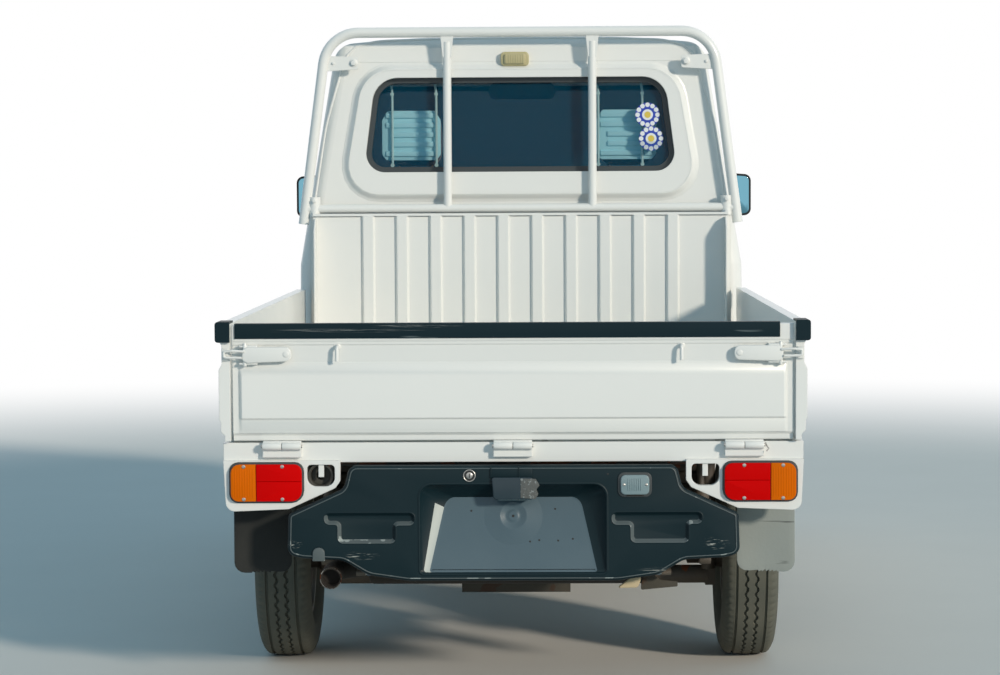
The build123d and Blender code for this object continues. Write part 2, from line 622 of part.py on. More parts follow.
@lru_cache
def cab_form(inset=0.0, rise=0.0):
    """Solid cab form: ruled loft of the plan sections, rounded off by the roof's two views."""
    rows = [list(row) for row in CAB_SECTIONS]
    body = loft([cab_section(row, inset) for row in rows], ruled=True)
    lower = CAB_BOTTOM_Z - 5
    shoulder = 950.0
    crown = ROOF_TOP_Z - inset + rise
    w_low = 692 + SIDE_LEAN * (1000 - shoulder) + 1 - inset
    w_top = 692 - SIDE_LEAN * (crown - 26 - 1000) + 1 - inset
    crown_arc = ThreePointArc((w_top, crown - 32), (0, crown), (-w_top, crown - 32))
    sides = Polyline(
        (-w_top, crown - 32), (-w_low, shoulder), (-800, shoulder), (-800, lower),
        (800, lower), (800, shoulder), (w_low, shoulder), (w_top, crown - 32),
    )
    face = make_face([crown_arc, sides]).faces()[0]
    top_corners = face.vertices().filter_by(lambda v: v.Y > crown - 40)
    face = face.fillet_2d(max(75 - inset, 25), top_corners)
    body &= front_prism(face, 200, 1800)
    rear_top = CAB_REAR_Y + 13.6 + inset - 1
    front_top = 1591 - inset - WINDSCREEN_LEAN * (crown - 16 - 1000)
    roof_arc = ThreePointArc((rear_top, crown - 10), (760, crown), (front_top, crown - 16))
    front_shoulder = 1591 - inset + WINDSCREEN_LEAN * 50
    rest = Polyline(
        (front_top, crown - 16), (front_shoulder, shoulder), (1800, shoulder), (1800, lower),
        (200, lower), (200, shoulder), (CAB_REAR_Y + inset - 2, shoulder), (rear_top, crown - 10),
    )
    side = make_face([roof_arc, rest]).faces()[0]
    front_corner = side.vertices().filter_by(lambda v: v.Y > crown - 30 and v.X > 900)
    side = side.fillet_2d(max(90 - inset, 40), front_corner)
    rear_corner = side.vertices().filter_by(lambda v: v.Y > crown - 30 and v.X < 500)
    side = side.fillet_2d(max(45 - inset, 10), rear_corner)
    return body & side_prism(side, -800, 800)


def door_face(gap=0.0):
    """Door outline in (y, z), or its opening with a gap all round."""
    radius = ARCH_STRIP_RADIUS if gap else DOOR_ARCH_RADIUS
    bottom, step = 455 - gap, 600 - gap
    front_foot = FRONT_AXLE_Y + math.sqrt(radius ** 2 - (bottom - AXLE_Z) ** 2)
    rear_foot = FRONT_AXLE_Y - math.sqrt(radius ** 2 - (step - AXLE_Z) ** 2)
    rear_top_gap = DOOR_TOP_REAR_GAP if gap else 0
    arch = ThreePointArc((front_foot, bottom), (FRONT_AXLE_Y, AXLE_Z + radius), (rear_foot, step))
    rest = Polyline(
        (rear_foot, step), (DOOR_REAR_Y - gap, step), (DOOR_REAR_Y - gap, 1080),
        (DOOR_REAR_Y + 12 - rear_top_gap, DOOR_TOP_Z + gap), (1150 + gap, DOOR_TOP_Z + gap),
        (DOOR_FRONT_Y + gap, 1003), (DOOR_FRONT_Y + gap, bottom), (front_foot, bottom),
    )
    return make_face([arch, rest])


def door_window_face():
    """Outline of the door's window in (y, z)."""
    return round_outline([(1398, 1062), (1112, 1543), (668, 1543), (660, 1062)], [22, 40, 40, 22])


def windscreen_face(inset=0.0):
    """Outline of the windscreen opening in (x, z)."""
    face = round_outline([(606, 1020), (512, 1585), (-512, 1585), (-606, 1020)], [55, 70, 70, 55])
    return offset(face, -inset) if inset else face


def rear_window_face(inset=0.0):
    """Outline of the rear window opening in (x, z)."""
    face = round_outline([(488, 1288), (450, 1581), (-450, 1581), (-488, 1288)], [58, 80, 80, 58])
    return offset(face, -inset) if inset else face


def headlamp_face():
    """Outline of the right headlamp in (x, z)."""
    return round_outline([(430, 560), (640, 560), (640, 690), (430, 690)], [14, 20, 20, 14])


OUTER = cab_form()
INNER = cab_form(WALL)
CLEAR = cab_form(WALL + 6)
SHELL = OUTER - INNER
GLASS = cab_form(14) - cab_form(19)
SEAL = cab_form(4) - cab_form(24)


def cab_roof():
    """Roof with its rounded rims, drip rail and the header over the windscreen."""
    roof = SHELL & box(-800, 800, 200, 1800, ROOF_CUT_Z, 1800)
    drip = (cab_form(-7) - OUTER) & box(-800, 800, 410, 1160, ROOF_CUT_Z + 2, ROOF_CUT_Z + 8)
    header = SHELL & box(-330, 330, 900, 1800, 1300, ROOF_CUT_Z)
    return roof + drip + (header - front_prism(windscreen_face(), 900, 1800))


def cab_rear_wall():
    """Rear wall with the raised pad round its window."""
    wall = SHELL & box(-800, 800, 200, REAR_WALL_CUT_Y, CAB_BOTTOM_Z - 5, ROOF_CUT_Z)
    pad = round_outline([(570, 1204), (497, 1622), (-497, 1622), (-570, 1204)], [110, 120, 120, 110])
    raised = extrude(Plane.XZ.offset(-350) * pad, 20, taper=35)
    raised -= box(-800, 800, 350, 900, 1000, 1800)
    wall += raised
    wall -= box(-560, 560, 200, 500, 0, RAIL_TOP_Z + 2)
    return wall - front_prism(rear_window_face(), 200, 500)


def cab_side():
    """Right side frame: rear quarter, sill, wheel arch strip, windscreen pillar."""
    side = SHELL & box(0, 800, REAR_WALL_CUT_Y, 1800, CAB_BOTTOM_Z - 5, ROOF_CUT_Z)
    side -= box(0, 800, FRONT_CUT_Y, 1800, 0, COWL_Z)
    side -= side_prism(door_face(DOOR_GAP), 0, 800)
    side -= front_prism(windscreen_face(), 900, 1800)
    arch = Pos(400, FRONT_AXLE_Y, AXLE_Z) * (Rot(0, 90, 0) * Cylinder(ARCH_RADIUS, 800))
    side -= arch
    side -= box(-1, 330, 900, 1800, COWL_Z, ROOF_CUT_Z)
    return side


def front_panel():
    """Front panel with its cowl, headlamp recesses, hinge knuckles and the sunk band between the lamps."""
    panel = SHELL & box(-800, 800, FRONT_CUT_Y, 1800, CAB_BOTTOM_Z - 5, COWL_Z)
    cowl = SHELL & box(-330, 330, 900, 1800, COWL_Z, 1300)
    panel += cowl - front_prism(windscreen_face(), 900, 1800)
    band = round_outline([(412, 575), (412, 672), (-412, 672), (-412, 575)], [18, 18, 18, 18])
    panel -= front_prism(band, 1400, 1800) & (OUTER - cab_form(7))
    for recess in both_sides(headlamp()):
        panel -= recess
    for z in DOOR_HINGES_Z:
        for knuckle_part in both_sides(door_knuckle(z + 0.5, z + 32, 1)):
            panel += knuckle_part
    return panel


def door_knuckle(z0, z1, side):
    """Half of a right door hinge with its leaf on the skin: the door's (-1) or the front panel's (1)."""
    x, y = DOOR_AXIS
    near = y if side < 0 else y + 1.5
    leaf_y, web_y = y + side * 26, y + side * 8
    leaf = (cab_form(-5) - cab_form(6)) & box(600, 800, min(near, leaf_y), max(near, leaf_y), z0, z1)
    web = box(672, x, min(near, web_y), max(near, web_y), z0, z1)
    return leaf + web + rod((x, y, z0), (x, y, z1), DOOR_BARREL_R)


def headlamp():
    """Right headlamp, flush with the front panel."""
    return (OUTER - cab_form(30)) & front_prism(headlamp_face(), 1400, 1800)


def bumper_form(inset=0.0):
    """Solid form of the front bumper before the cab is taken out of it."""
    section = cab_section((0, BODY_HALF_WIDTH, FRONT_Y, CAB_REAR_Y, 38, 125, 45), inset)
    return extrude(Pos(0, 0, 352 + inset) * section, 158 - 2 * inset) & box(-800, 800, 1506, 1800, 300, 600)


def front_signals():
    """Two turn lamps, flush in the bumper."""
    lens = round_outline([(455, 424), (585, 424), (585, 470), (455, 470)], [8, 16, 16, 8])
    lens = (bumper_form() - bumper_form(16)) & front_prism(lens, 1500, 1800)
    return both_sides(lens)


def front_bumper():
    """Bumper across the front with a sunk air slot and the seats of the turn lamps."""
    bumper = bumper_form() - OUTER
    slot = round_outline([(300, 386), (300, 432), (-300, 432), (-300, 386)], [16, 16, 16, 16])
    bumper -= front_prism(slot, 1500, 1800) & (bumper_form() - bumper_form(14))
    for lens in front_signals():
        bumper -= lens
    return bumper


def screen_point(x, z, out):
    """Point on the front face above the waist, out of it by a distance along Y."""
    half_width = 692 - SIDE_LEAN * (z - 1000)
    return (x, 1590 - WINDSCREEN_LEAN * (z - 1000) - 36 * (x / half_width) ** 2 + out, z)


def wipers():
    """Two wipers parked along the foot of the windscreen, with their pivots on the cowl."""
    solids = []
    for pivot_x in (300, -205):
        wiper = rod(screen_point(pivot_x, 1004, -12), screen_point(pivot_x, 1010, 16), 9)
        wiper += rod(screen_point(pivot_x, 1009, 12), screen_point(pivot_x - 170, 1047, -1), 5)
        wiper += rod(screen_point(pivot_x + 30, 1041, -8), screen_point(pivot_x - 370, 1053, -8), 6)
        solids.append(wiper - SHELL)
    return solids


def door():
    """Right door with its window cut out, sunk pull handle and hinge halves."""
    panel = (SHELL & side_prism(door_face(), 0, 800)) - side_prism(door_window_face(), 0, 800)
    pocket = round_outline([(655, 884), (775, 884), (775, 936), (655, 936)], [22, 22, 22, 22])
    panel -= side_prism(pocket, 678, 800)
    grip = round_outline([(642, 912), (758, 912), (758, 930), (642, 930)], [6, 6, 6, 6])
    panel += (cab_form(-5) - cab_form(5)) & side_prism(grip, 600, 800)
    x, y = DOOR_AXIS
    for z in DOOR_HINGES_Z:
        panel -= rod((x, y, z - 1), (x, y, z + 33), DOOR_BARREL_R + 1)
        panel += door_knuckle(z - 32, z - 0.5, -1)
    return panel


def door_glass():
    """Right door glass."""
    return GLASS & side_prism(door_window_face(), 300, 800)


def door_mirror():
    """Right door mirror: rounded head on its arm."""
    head = round_outline([(712, 1129), (801, 1135), (801, 1277), (712, 1284)], [16, 24, 24, 16])
    head = front_prism(head, 1393, 1433)
    head = fillet(head.faces().sort_by(Axis.Y)[-1].edges(), 14)
    arm = rod((672, 1415, 1050), (740, 1412, 1142), 8)
    return head + (arm - cab_form())


def cab_floor():
    """Seat deck, riser and footwell floor, and the inner arch over each front wheel."""
    profile = outline(
        (385, DECK_Z), (385, DECK_Z + FLOOR_SHEET), (RISER_Y + FLOOR_SHEET, DECK_Z + FLOOR_SHEET),
        (RISER_Y + FLOOR_SHEET, FOOTWELL_Z + FLOOR_SHEET), (1700, FOOTWELL_Z + FLOOR_SHEET),
        (1700, FOOTWELL_Z), (RISER_Y, FOOTWELL_Z), (RISER_Y, DECK_Z),
    )
    floor = side_prism(profile, -800, 800)
    middle = INNER & box(-560, 560, 300, 1700, 400, 700)
    edges = CLEAR & box(-800, 800, 300, FRONT_CUT_Y, 400, 700)
    ring = Cylinder(ARCH_RADIUS + 9, 290) - Cylinder(ARCH_RADIUS + 3, 290)
    ring = Pos(395 + 145, FRONT_AXLE_Y, AXLE_Z) * (Rot(0, 90, 0) * ring)
    arch = (ring & box(300, 800, 600, 1400, 350, 700)) & CLEAR
    return [floor & (middle + edges)] + both_sides(arch)


def window_seals():
    """Rubber seals of the windscreen and the rear window."""
    front = SEAL & (front_prism(windscreen_face(), 900, 1800) - front_prism(windscreen_face(16), 900, 1800))
    rear = SEAL & (front_prism(rear_window_face(), 200, 500) - front_prism(rear_window_face(16), 200, 500))
    return front, rear


def windscreen():
    """Windscreen glass."""
    return GLASS & front_prism(windscreen_face(16), 900, 1800)


def rear_window():
    """Rear window glass."""
    return GLASS & front_prism(rear_window_face(16), 200, 500)


def dashboard():
    """Dashboard across the cab with a hood over the instruments."""
    profile = outline((1270, 830), (1262, 960), (1300, 995), (1560, 1010), (1560, 830))
    board = side_prism(profile, -DASHBOARD_HALF_WIDTH, DASHBOARD_HALF_WIDTH)
    hood = round_outline([(205, 960), (460, 960), (446, 1052), (219, 1052)], [0, 0, 34, 34])
    board += front_prism(hood, 1262, 1420)
    face = round_outline([(222, 975), (443, 975), (434, 1040), (231, 1040)], [8, 8, 24, 24])
    board -= front_prism(face, 1240, 1276)
    return board & CLEAR


def seats():
    """Two seats with cushions, backs and head rests."""
    solids = []
    for x in (-332, 332):
        cushion = box(x - 230, x + 230, 480, 930, DECK_Z + FLOOR_SHEET, 770)
        back = round_outline(
            [(x - 225, 700), (x + 225, 700), (x + 225, 1210), (x + 95, 1300), (x + 95, 1488), (x - 95, 1488),
             (x - 95, 1300), (x - 225, 1210)],
            [10, 10, 60, 60, 30, 30, 60, 60],
        )
        solids.append(cushion + front_prism(back, 412, 495))
    return solids


def cab_controls():
    """Steering column, gear lever and interior mirror."""
    column = rod((332, 1330, 700), (332, 1120, 1060), 22)
    lever = rod((40, 1120, DECK_Z + FLOOR_SHEET), (40, 1080, 880), 8) + Pos(40, 1080, 885) * Sphere(20)
    glass = round_outline([(-112, 1535), (112, 1535), (112, 1592), (-112, 1592)], [22, 22, 22, 22])
    glass = front_prism(glass, 1070, 1084)
    stem = rod((0, 1082, 1570), (0, 1108, 1672), 6)
    return column - dashboard(), lever - cab_floor()[0], glass + (stem - SHELL)


def steering_wheel():
    """Steering wheel on the end of the column."""
    hub_point = Vector(332, 1108.5, 1079.7)
    lean = Vector(0, -210, 360)
    plane = Plane(origin=hub_point, x_dir=(1, 0, 0), z_dir=lean)
    wheel = Torus(175, 12) + Cylinder(34, 24)
    for angle in (-90, 30, 150):
        spoke = Rot(0, 0, angle) * (Pos(90, 0, 0) * Box(170, 26, 10))
        wheel += spoke
    return plane * wheel


NODES = {}


def keep(name, *shapes):
    """Stores the solids of one node."""
    solids = []
    for shape in shapes:
        solids += shape.solids()
    NODES[name] = solids[0] if len(solids) == 1 else Compound(solids)


keep("frame_rails", *frame_rails())
keep("cross_members", *cross_members())
keep("bed_floor", bed_floor())
keep("side_sills", *side_sills())
keep("headboard", headboard())
keep("headboard_posts", *headboard_posts())
keep("guard_frame", guard_frame())
keep("rear_sill", rear_sill())
keep("tailgate", tailgate())
keep("side_gate_right", side_gate())
keep("side_gate_left", mirror(side_gate(), about=Plane.YZ))
keep("gate_cap_right", side_gate_cap())
keep("gate_cap_left", mirror(side_gate_cap(), about=Plane.YZ))
keep("tailgate_rubber", tailgate_rubber())
keep("engine_lid", engine_lid())
keep("lid_lamps", *lid_lamps())
RED, AMBER = tail_lamps()
keep("tail_lamps_red", *both_sides(RED))
keep("tail_lamps_amber", *both_sides(AMBER))
for corner, x, y in (
    ("front_right", FRONT_WHEEL_X, FRONT_AXLE_Y), ("front_left", -FRONT_WHEEL_X, FRONT_AXLE_Y),
    ("rear_right", REAR_WHEEL_X, REAR_AXLE_Y), ("rear_left", -REAR_WHEEL_X, REAR_AXLE_Y),
):
    keep("tyre_" + corner, at_wheel(tyre(), x, y))
    keep("rim_" + corner, at_wheel(rim(), x, y))
keep("knuckle_right", knuckle())
keep("knuckle_left", mirror(knuckle(), about=Plane.YZ))
keep("front_suspension", *front_suspension())
keep("rear_suspension", *rear_suspension())
keep("engine_block", engine_block())
keep("exhaust", exhaust())
keep("driveline", driveline())
SPARE_TYRE, SPARE_RIM, SPARE_ROD = spare_wheel()
keep("spare_tyre", SPARE_TYRE)
keep("spare_rim", SPARE_RIM + SPARE_ROD)
keep("fuel_tank", fuel_tank())
keep("mudflaps", *mudflaps())
keep("cab_roof", cab_roof())
keep("cab_rear_wall", cab_rear_wall())
keep("cab_side_right", cab_side())
keep("cab_side_left", mirror(cab_side(), about=Plane.YZ))
keep("front_panel", front_panel())
keep("headlamps", *both_sides(headlamp()))
keep("front_bumper", front_bumper())
keep("front_signals", *front_signals())
keep("wipers", *wipers())
keep("door_right", door())
keep("door_left", mirror(door(), about=Plane.YZ))
keep("door_glass_right", door_glass())
keep("door_glass_left", mirror(door_glass(), about=Plane.YZ))
keep("mirror_right", door_mirror())
keep("mirror_left", mirror(door_mirror(), about=Plane.YZ))
keep("cab_floor", *cab_floor())
keep("window_seals", *window_seals())
keep("windscreen", windscreen())
keep("rear_window", rear_window())
keep("dashboard", dashboard())
keep("seats", *seats())
keep("cab_controls", *cab_controls())
keep("steering_wheel", steering_wheel())

os.makedirs("parts", exist_ok=True)
for name, shape in NODES.items():
    export_step(shape, "parts/" + name + ".step")
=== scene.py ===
"""Looks of a kei truck with a drop-side bed: finishes, lamps, tyres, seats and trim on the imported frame."""

from __future__ import annotations

import json
import logging
import math
from dataclasses import dataclass
from enum import Enum
from typing import Callable, Sequence

import bmesh
import bpy
from mathutils import Euler, Matrix, Vector

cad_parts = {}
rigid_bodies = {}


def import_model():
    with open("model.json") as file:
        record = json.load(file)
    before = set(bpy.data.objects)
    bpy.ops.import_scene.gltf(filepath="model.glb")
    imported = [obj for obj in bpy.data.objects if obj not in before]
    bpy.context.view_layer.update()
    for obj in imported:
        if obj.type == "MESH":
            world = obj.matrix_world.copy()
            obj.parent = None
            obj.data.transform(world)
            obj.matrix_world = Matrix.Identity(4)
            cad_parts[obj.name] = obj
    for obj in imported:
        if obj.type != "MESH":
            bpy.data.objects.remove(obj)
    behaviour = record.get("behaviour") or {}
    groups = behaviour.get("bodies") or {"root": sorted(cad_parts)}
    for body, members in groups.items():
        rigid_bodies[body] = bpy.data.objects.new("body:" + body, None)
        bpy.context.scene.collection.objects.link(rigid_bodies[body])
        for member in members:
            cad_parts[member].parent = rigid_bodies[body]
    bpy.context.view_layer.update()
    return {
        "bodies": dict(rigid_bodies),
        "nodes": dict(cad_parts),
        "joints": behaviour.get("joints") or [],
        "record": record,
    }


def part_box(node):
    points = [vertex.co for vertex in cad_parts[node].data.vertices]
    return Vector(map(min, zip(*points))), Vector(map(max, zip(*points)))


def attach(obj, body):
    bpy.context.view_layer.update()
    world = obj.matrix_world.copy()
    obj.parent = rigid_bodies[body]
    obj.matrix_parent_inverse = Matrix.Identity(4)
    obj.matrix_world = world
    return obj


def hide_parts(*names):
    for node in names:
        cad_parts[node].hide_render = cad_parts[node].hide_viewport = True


LOG = logging.getLogger("kei_truck")
Color = tuple[float, float, float]
Point = tuple[float, float, float]
Pair = tuple[float, float]
MM = 0.001
WELD = 1e-6
Node = bpy.types.Node
Socket = bpy.types.NodeSocket
Mesh = bmesh.types.BMesh
Face = bmesh.types.BMFace
Thing = bpy.types.Object
REARWARD = (0, -1, 0)
FULL_WHITE = (1.0, 1.0, 1.0, 1.0)


def shade(red: int, green: int, blue: int) -> Color:
    """Linear colour of a colour given as it looks on a screen, 0 to 255."""

    def linear(level: int) -> float:
        value = level / 255
        return value / 12.92 if value <= 0.04045 else ((value + 0.055) / 1.055) ** 2.4

    return linear(red), linear(green), linear(blue)


# Node trees


class Graph:
    """A node tree being wired, with short calls for the nodes that repeat."""

    def __init__(self, tree: bpy.types.NodeTree) -> None:
        self.tree = tree

    @classmethod
    def emptied(cls, owner: bpy.types.Material | bpy.types.World) -> Graph:
        """Graph of the emptied node tree of a material or a world."""
        owner.use_nodes = True
        owner.node_tree.nodes.clear()
        return cls(owner.node_tree)

    def add(self, kind: str, **settings: object) -> Node:
        """Adds a node.

        Args:
            kind: Blender's node type.
            settings: Properties of the node.

        Returns:
            The new node.
        """
        node = self.tree.nodes.new(kind)
        for name, value in settings.items():
            setattr(node, name, value)
        return node

    def put(self, socket: Socket, value: object) -> None:
        """Links an input to an output socket, or sets it to a plain value."""
        if isinstance(value, Socket):
            self.tree.links.new(value, socket)
        else:
            socket.default_value = value

    def feed(self, node: Node, **values: object) -> Node:
        """Sets or links the inputs of a node.

        Args:
            node: The node to feed.
            values: Socket names with spaces as underscores, each with a value or an output socket.

        Returns:
            The same node.
        """
        for name, value in values.items():
            self.put(node.inputs[name.replace("_", " ")], value)
        return node

    def object_place(self) -> Socket:
        """Object coordinates."""
        return self.add("ShaderNodeTexCoord").outputs["Object"]

    def math(self, operation: str, first: object, second: object = 0.0) -> Socket:
        """Output of a Math node on two values or sockets, kept between 0 and 1."""
        node = self.add("ShaderNodeMath", operation=operation, use_clamp=True)
        for socket, value in zip(node.inputs, (first, second)):
            self.put(socket, value)
        return node.outputs[0]

    def length(self, vector: object) -> Socket:
        """Length of a vector."""
        return self.feed(
            self.add("ShaderNodeVectorMath", operation="LENGTH"), Vector=vector,
        ).outputs["Value"]

    def mix(self, factor: object, first: object, second: object) -> Socket:
        """Colour mixed from two colours or sockets by a factor."""
        node = self.add("ShaderNodeMix", data_type="RGBA")
        for number, value in ((0, factor), (6, first), (7, second)):
            self.put(node.inputs[number], (*value, 1.0) if isinstance(value, tuple) else value)
        return node.outputs[2]

    def mix_shaders(
        self, factor: object, first: Node, second: Node,
    ) -> Socket:
        """Shader mixed from two shader nodes by a factor."""
        node = self.feed(self.add("ShaderNodeMixShader"), Fac=factor)
        self.put(node.inputs[1], first.outputs[0])
        self.put(node.inputs[2], second.outputs[0])
        return node.outputs[0]

    def blend(self, factor: object, first: float, second: float) -> Socket:
        """Number that goes from first to second as the factor goes from 0 to 1."""
        return self.feed(
            self.add("ShaderNodeMapRange"), Value=factor, To_Min=first, To_Max=second,
        ).outputs[0]

    def ramp(self, value: object, start: object, end: object, smooth: bool = False) -> Socket:
        """Number that goes from 0 to 1 as the value goes from start to end."""
        node = self.add("ShaderNodeMapRange", interpolation_type="SMOOTHSTEP" if smooth else "LINEAR")
        return self.feed(node, Value=value, From_Min=start, From_Max=end).outputs[0]

    def noise(self, vector: object, scale: object, detail: float) -> Socket:
        """Factor of a noise texture."""
        return self.feed(
            self.add("ShaderNodeTexNoise"), Vector=vector, Scale=scale, Detail=detail,
        ).outputs[0]

    def stretched(self, vector: object, scale: Point, turn: Point = (0, 0, 0)) -> Socket:
        """Coordinates scaled and turned by a Mapping node."""
        return self.feed(
            self.add("ShaderNodeMapping"), Vector=vector, Scale=scale, Rotation=turn,
        ).outputs[0]


Sockets = dict[str, Socket]


def wire_patches(graph: Graph, given: Sockets) -> tuple:
    """Soft-edged patches: Amount is the share covered, Softness the width of the edge."""
    cloud = graph.noise(given["Vector"], given["Scale"], 6.0)
    low = graph.math("SUBTRACT", 0.72, graph.math("MULTIPLY", given["Amount"], 0.45))
    return (graph.ramp(cloud, low, graph.math("ADD", low, given["Softness"]), smooth=True),)


def wire_low_dirt(graph: Graph, given: Sockets) -> tuple:
    """Dirt that thins out with height above the ground, broken up by noise."""
    height = graph.feed(graph.add("ShaderNodeSeparateXYZ"), Vector=given["Vector"]).outputs["Z"]
    fade = graph.ramp(height, given["High"], given["Low"], smooth=True)
    return (graph.math("MULTIPLY", fade, graph.noise(given["Vector"], 9.0, 5.0)),)


def wire_streaks(graph: Graph, given: Sockets) -> tuple:
    """Thin scratches along X of the given coordinates."""
    lines = graph.noise(graph.stretched(given["Vector"], (0.06, 1.0, 1.0)), given["Scale"], 4.0)
    spots = graph.noise(given["Vector"], 5.0, 2.0)
    low = graph.math("SUBTRACT", 0.78, graph.math("MULTIPLY", given["Amount"], 0.3))
    line = graph.ramp(lines, low, graph.math("ADD", low, 0.05))
    return (graph.math("MULTIPLY", line, graph.ramp(spots, 0.42, 0.6)),)


def wire_grain(graph: Graph, given: Sockets) -> tuple:
    """Fine grain as a height, and a slow drift of tone."""
    return graph.noise(given["Vector"], given["Scale"], 2.0), graph.noise(given["Vector"], 3.0, 4.0)


def wire_worn_spot(graph: Graph, given: Sockets) -> tuple:
    """Scuffs round the origin of the given coordinates, out to a length of 1."""
    near = graph.ramp(graph.length(given["Vector"]), 1.0, 0.3)
    cloud = graph.noise(graph.stretched(given["Vector"], (0.5, 1.0, 2.4)), given["Grain"], 8.0)
    return (graph.math("MULTIPLY", near, graph.ramp(cloud, 0.56, 0.64)),)


@dataclass(frozen=True)
class Recipe:
    """How an effect's node group is wired, its number inputs with their defaults, and its outputs."""

    wire: Callable[[Graph, Sockets], tuple]
    inputs: dict[str, float]
    outputs: tuple[str, ...] = ("Mask",)


class Effect(Enum):
    """Surface effects that several finishes share, each one shader node group."""

    PATCHES = Recipe(wire_patches, {"Scale": 8.0, "Amount": 0.3, "Softness": 0.1})
    LOW_DIRT = Recipe(wire_low_dirt, {"Low": 0.2, "High": 1.0})
    STREAKS = Recipe(wire_streaks, {"Scale": 40.0, "Amount": 0.3})
    GRAIN = Recipe(wire_grain, {"Scale": 300.0}, ("Height", "Tone"))
    WORN_SPOT = Recipe(wire_worn_spot, {"Grain": 3.0})

    def tree(self) -> bpy.types.NodeTree:
        """The effect's node group, built at its first use."""
        name = self.name.lower()
        found = bpy.data.node_groups.get(name)
        if found:
            return found
        tree = bpy.data.node_groups.new(name, "ShaderNodeTree")
        new_socket = tree.interface.new_socket
        new_socket("Vector", in_out="INPUT", socket_type="NodeSocketVector")
        for label, default in self.value.inputs.items():
            new_socket(label, in_out="INPUT", socket_type="NodeSocketFloat").default_value = default
        for label in self.value.outputs:
            new_socket(label, in_out="OUTPUT", socket_type="NodeSocketFloat")
        graph = Graph(tree)
        source, target = graph.add("NodeGroupInput"), graph.add("NodeGroupOutput")
        made = self.value.wire(graph, source.outputs)
        graph.feed(target, **dict(zip(self.value.outputs, made)))
        return tree

    def place(self, graph: Graph, vector: object, **values: object) -> Node:
        """Places the group in a material.

        Args:
            graph: The material's graph.
            vector: Coordinates that the effect follows.
            values: The group's other inputs.

        Returns:
            The group node.
        """
        node = graph.add("ShaderNodeGroup", node_tree=self.tree())
        return graph.feed(node, Vector=vector, **values)


# Finishes


@dataclass(frozen=True)
class Finish:
    """One finish: its colour, gloss and the wear that shows on it.

    Attributes:
        name: Name of the material.
        color: Clean colour.
        roughness: Roughness where it is clean.
        slot: The record's material slot for this finish; not used.
        dirt_low: Height in metres below which the dirt is full.
        dirt_high: Height in metres above which there is none.
        scratch_turn: Turn of the coordinates that the scratches run along.
        tone: Share by which the darkest drift of the colour is darker.
        edge: Radius in metres by which shading rounds the edges.
        spots: Centre and reach of each worn spot.
    """

    name: str
    color: Color
    roughness: float
    slot: str
    metallic: float = 0.0
    coat: float = 0.0
    dirt: Color = (0.30, 0.25, 0.19)
    dirt_amount: float = 0.25
    dirt_low: float = 0.15
    dirt_high: float = 0.95
    chips: Color = (0.16, 0.07, 0.035)
    chip_amount: float = 0.0
    chip_scale: float = 14.0
    scratch: Color = (0.5, 0.5, 0.5)
    scratch_amount: float = 0.0
    scratch_turn: Point = (0.0, 0.0, 0.0)
    grain_scale: float = 300.0
    grain_depth: float = 0.0
    tone: float = 0.06
    ior: float = 1.5
    sheen: float = 0.0
    sheen_roughness: float = 0.5
    coat_roughness: float = 0.08
    bump_strength: float = 0.6
    specular: float = 0.5
    edge: float = 0.0
    alpha: float = 1.0
    spots: tuple[tuple[Point, Point], ...] = ()
    spot_color: Color = (0.35, 0.36, 0.36)
    spot_roughness: float = 0.8

    def material(self) -> bpy.types.Material:
        """The finish as a Blender material, built at its first use."""
        name = self.name + "_finish"
        found = bpy.data.materials.get(name)
        if found:
            return found
        material = bpy.data.materials.new(name)
        graph = Graph.emptied(material)
        shader = graph.add("ShaderNodeBsdfPrincipled")
        color, roughness, height = self.surface(graph, graph.object_place())
        graph.feed(
            shader, Base_Color=color, Roughness=roughness, Metallic=self.metallic, IOR=self.ior,
            Coat_Weight=self.coat, Coat_Roughness=self.coat_roughness, Transmission_Weight=0.0,
            Sheen_Weight=self.sheen, Sheen_Roughness=self.sheen_roughness,
            Specular_IOR_Level=self.specular, Alpha=self.alpha,
        )
        bump = graph.feed(
            graph.add("ShaderNodeBump"), Height=height, Strength=self.bump_strength,
            Distance=self.grain_depth,
        )
        if self.edge:
            soft = graph.feed(graph.add("ShaderNodeBevel", samples=4), Radius=self.edge)
            graph.feed(bump, Normal=soft.outputs[0])
        graph.feed(shader, Normal=bump.outputs[0])
        graph.feed(graph.add("ShaderNodeOutputMaterial"), Surface=shader.outputs[0])
        return material

    def surface(self, graph: Graph, where: Socket) -> tuple:
        """Wires colour, roughness and height.

        Args:
            graph: The material's graph.
            where: Object coordinates.

        Returns:
            Colour, roughness and height sockets.
        """
        grain = Effect.GRAIN.place(graph, where, Scale=self.grain_scale)
        darker = tuple(level * (1 - self.tone) for level in self.color)
        color = graph.mix(grain.outputs["Tone"], self.color, darker)
        dirt = Effect.LOW_DIRT.place(graph, where, Low=self.dirt_low, High=self.dirt_high)
        dirt = graph.math("MULTIPLY", dirt.outputs[0], self.dirt_amount * 2)
        color = graph.mix(dirt, color, self.dirt)
        roughness = graph.blend(dirt, self.roughness, min(self.roughness + 0.35, 0.95))
        if self.scratch_amount:
            turned = graph.stretched(where, (1, 1, 1), self.scratch_turn)
            lines = Effect.STREAKS.place(graph, turned, Amount=self.scratch_amount)
            color = graph.mix(lines.outputs[0], color, self.scratch)
        if self.chip_amount:
            chips = Effect.PATCHES.place(
                graph, where, Scale=self.chip_scale, Amount=self.chip_amount, Softness=0.03,
            )
            color = graph.mix(chips.outputs[0], color, self.chips)
        for center, reach in self.spots:
            placed = graph.add("ShaderNodeMapping", vector_type="TEXTURE")
            graph.feed(placed, Vector=where, Location=center, Scale=reach)
            worn = Effect.WORN_SPOT.place(graph, placed.outputs[0]).outputs[0]
            color = graph.mix(worn, color, self.spot_color)
            roughness = graph.blend(worn, 0.45, self.spot_roughness)
        return color, roughness, grain.outputs["Height"]


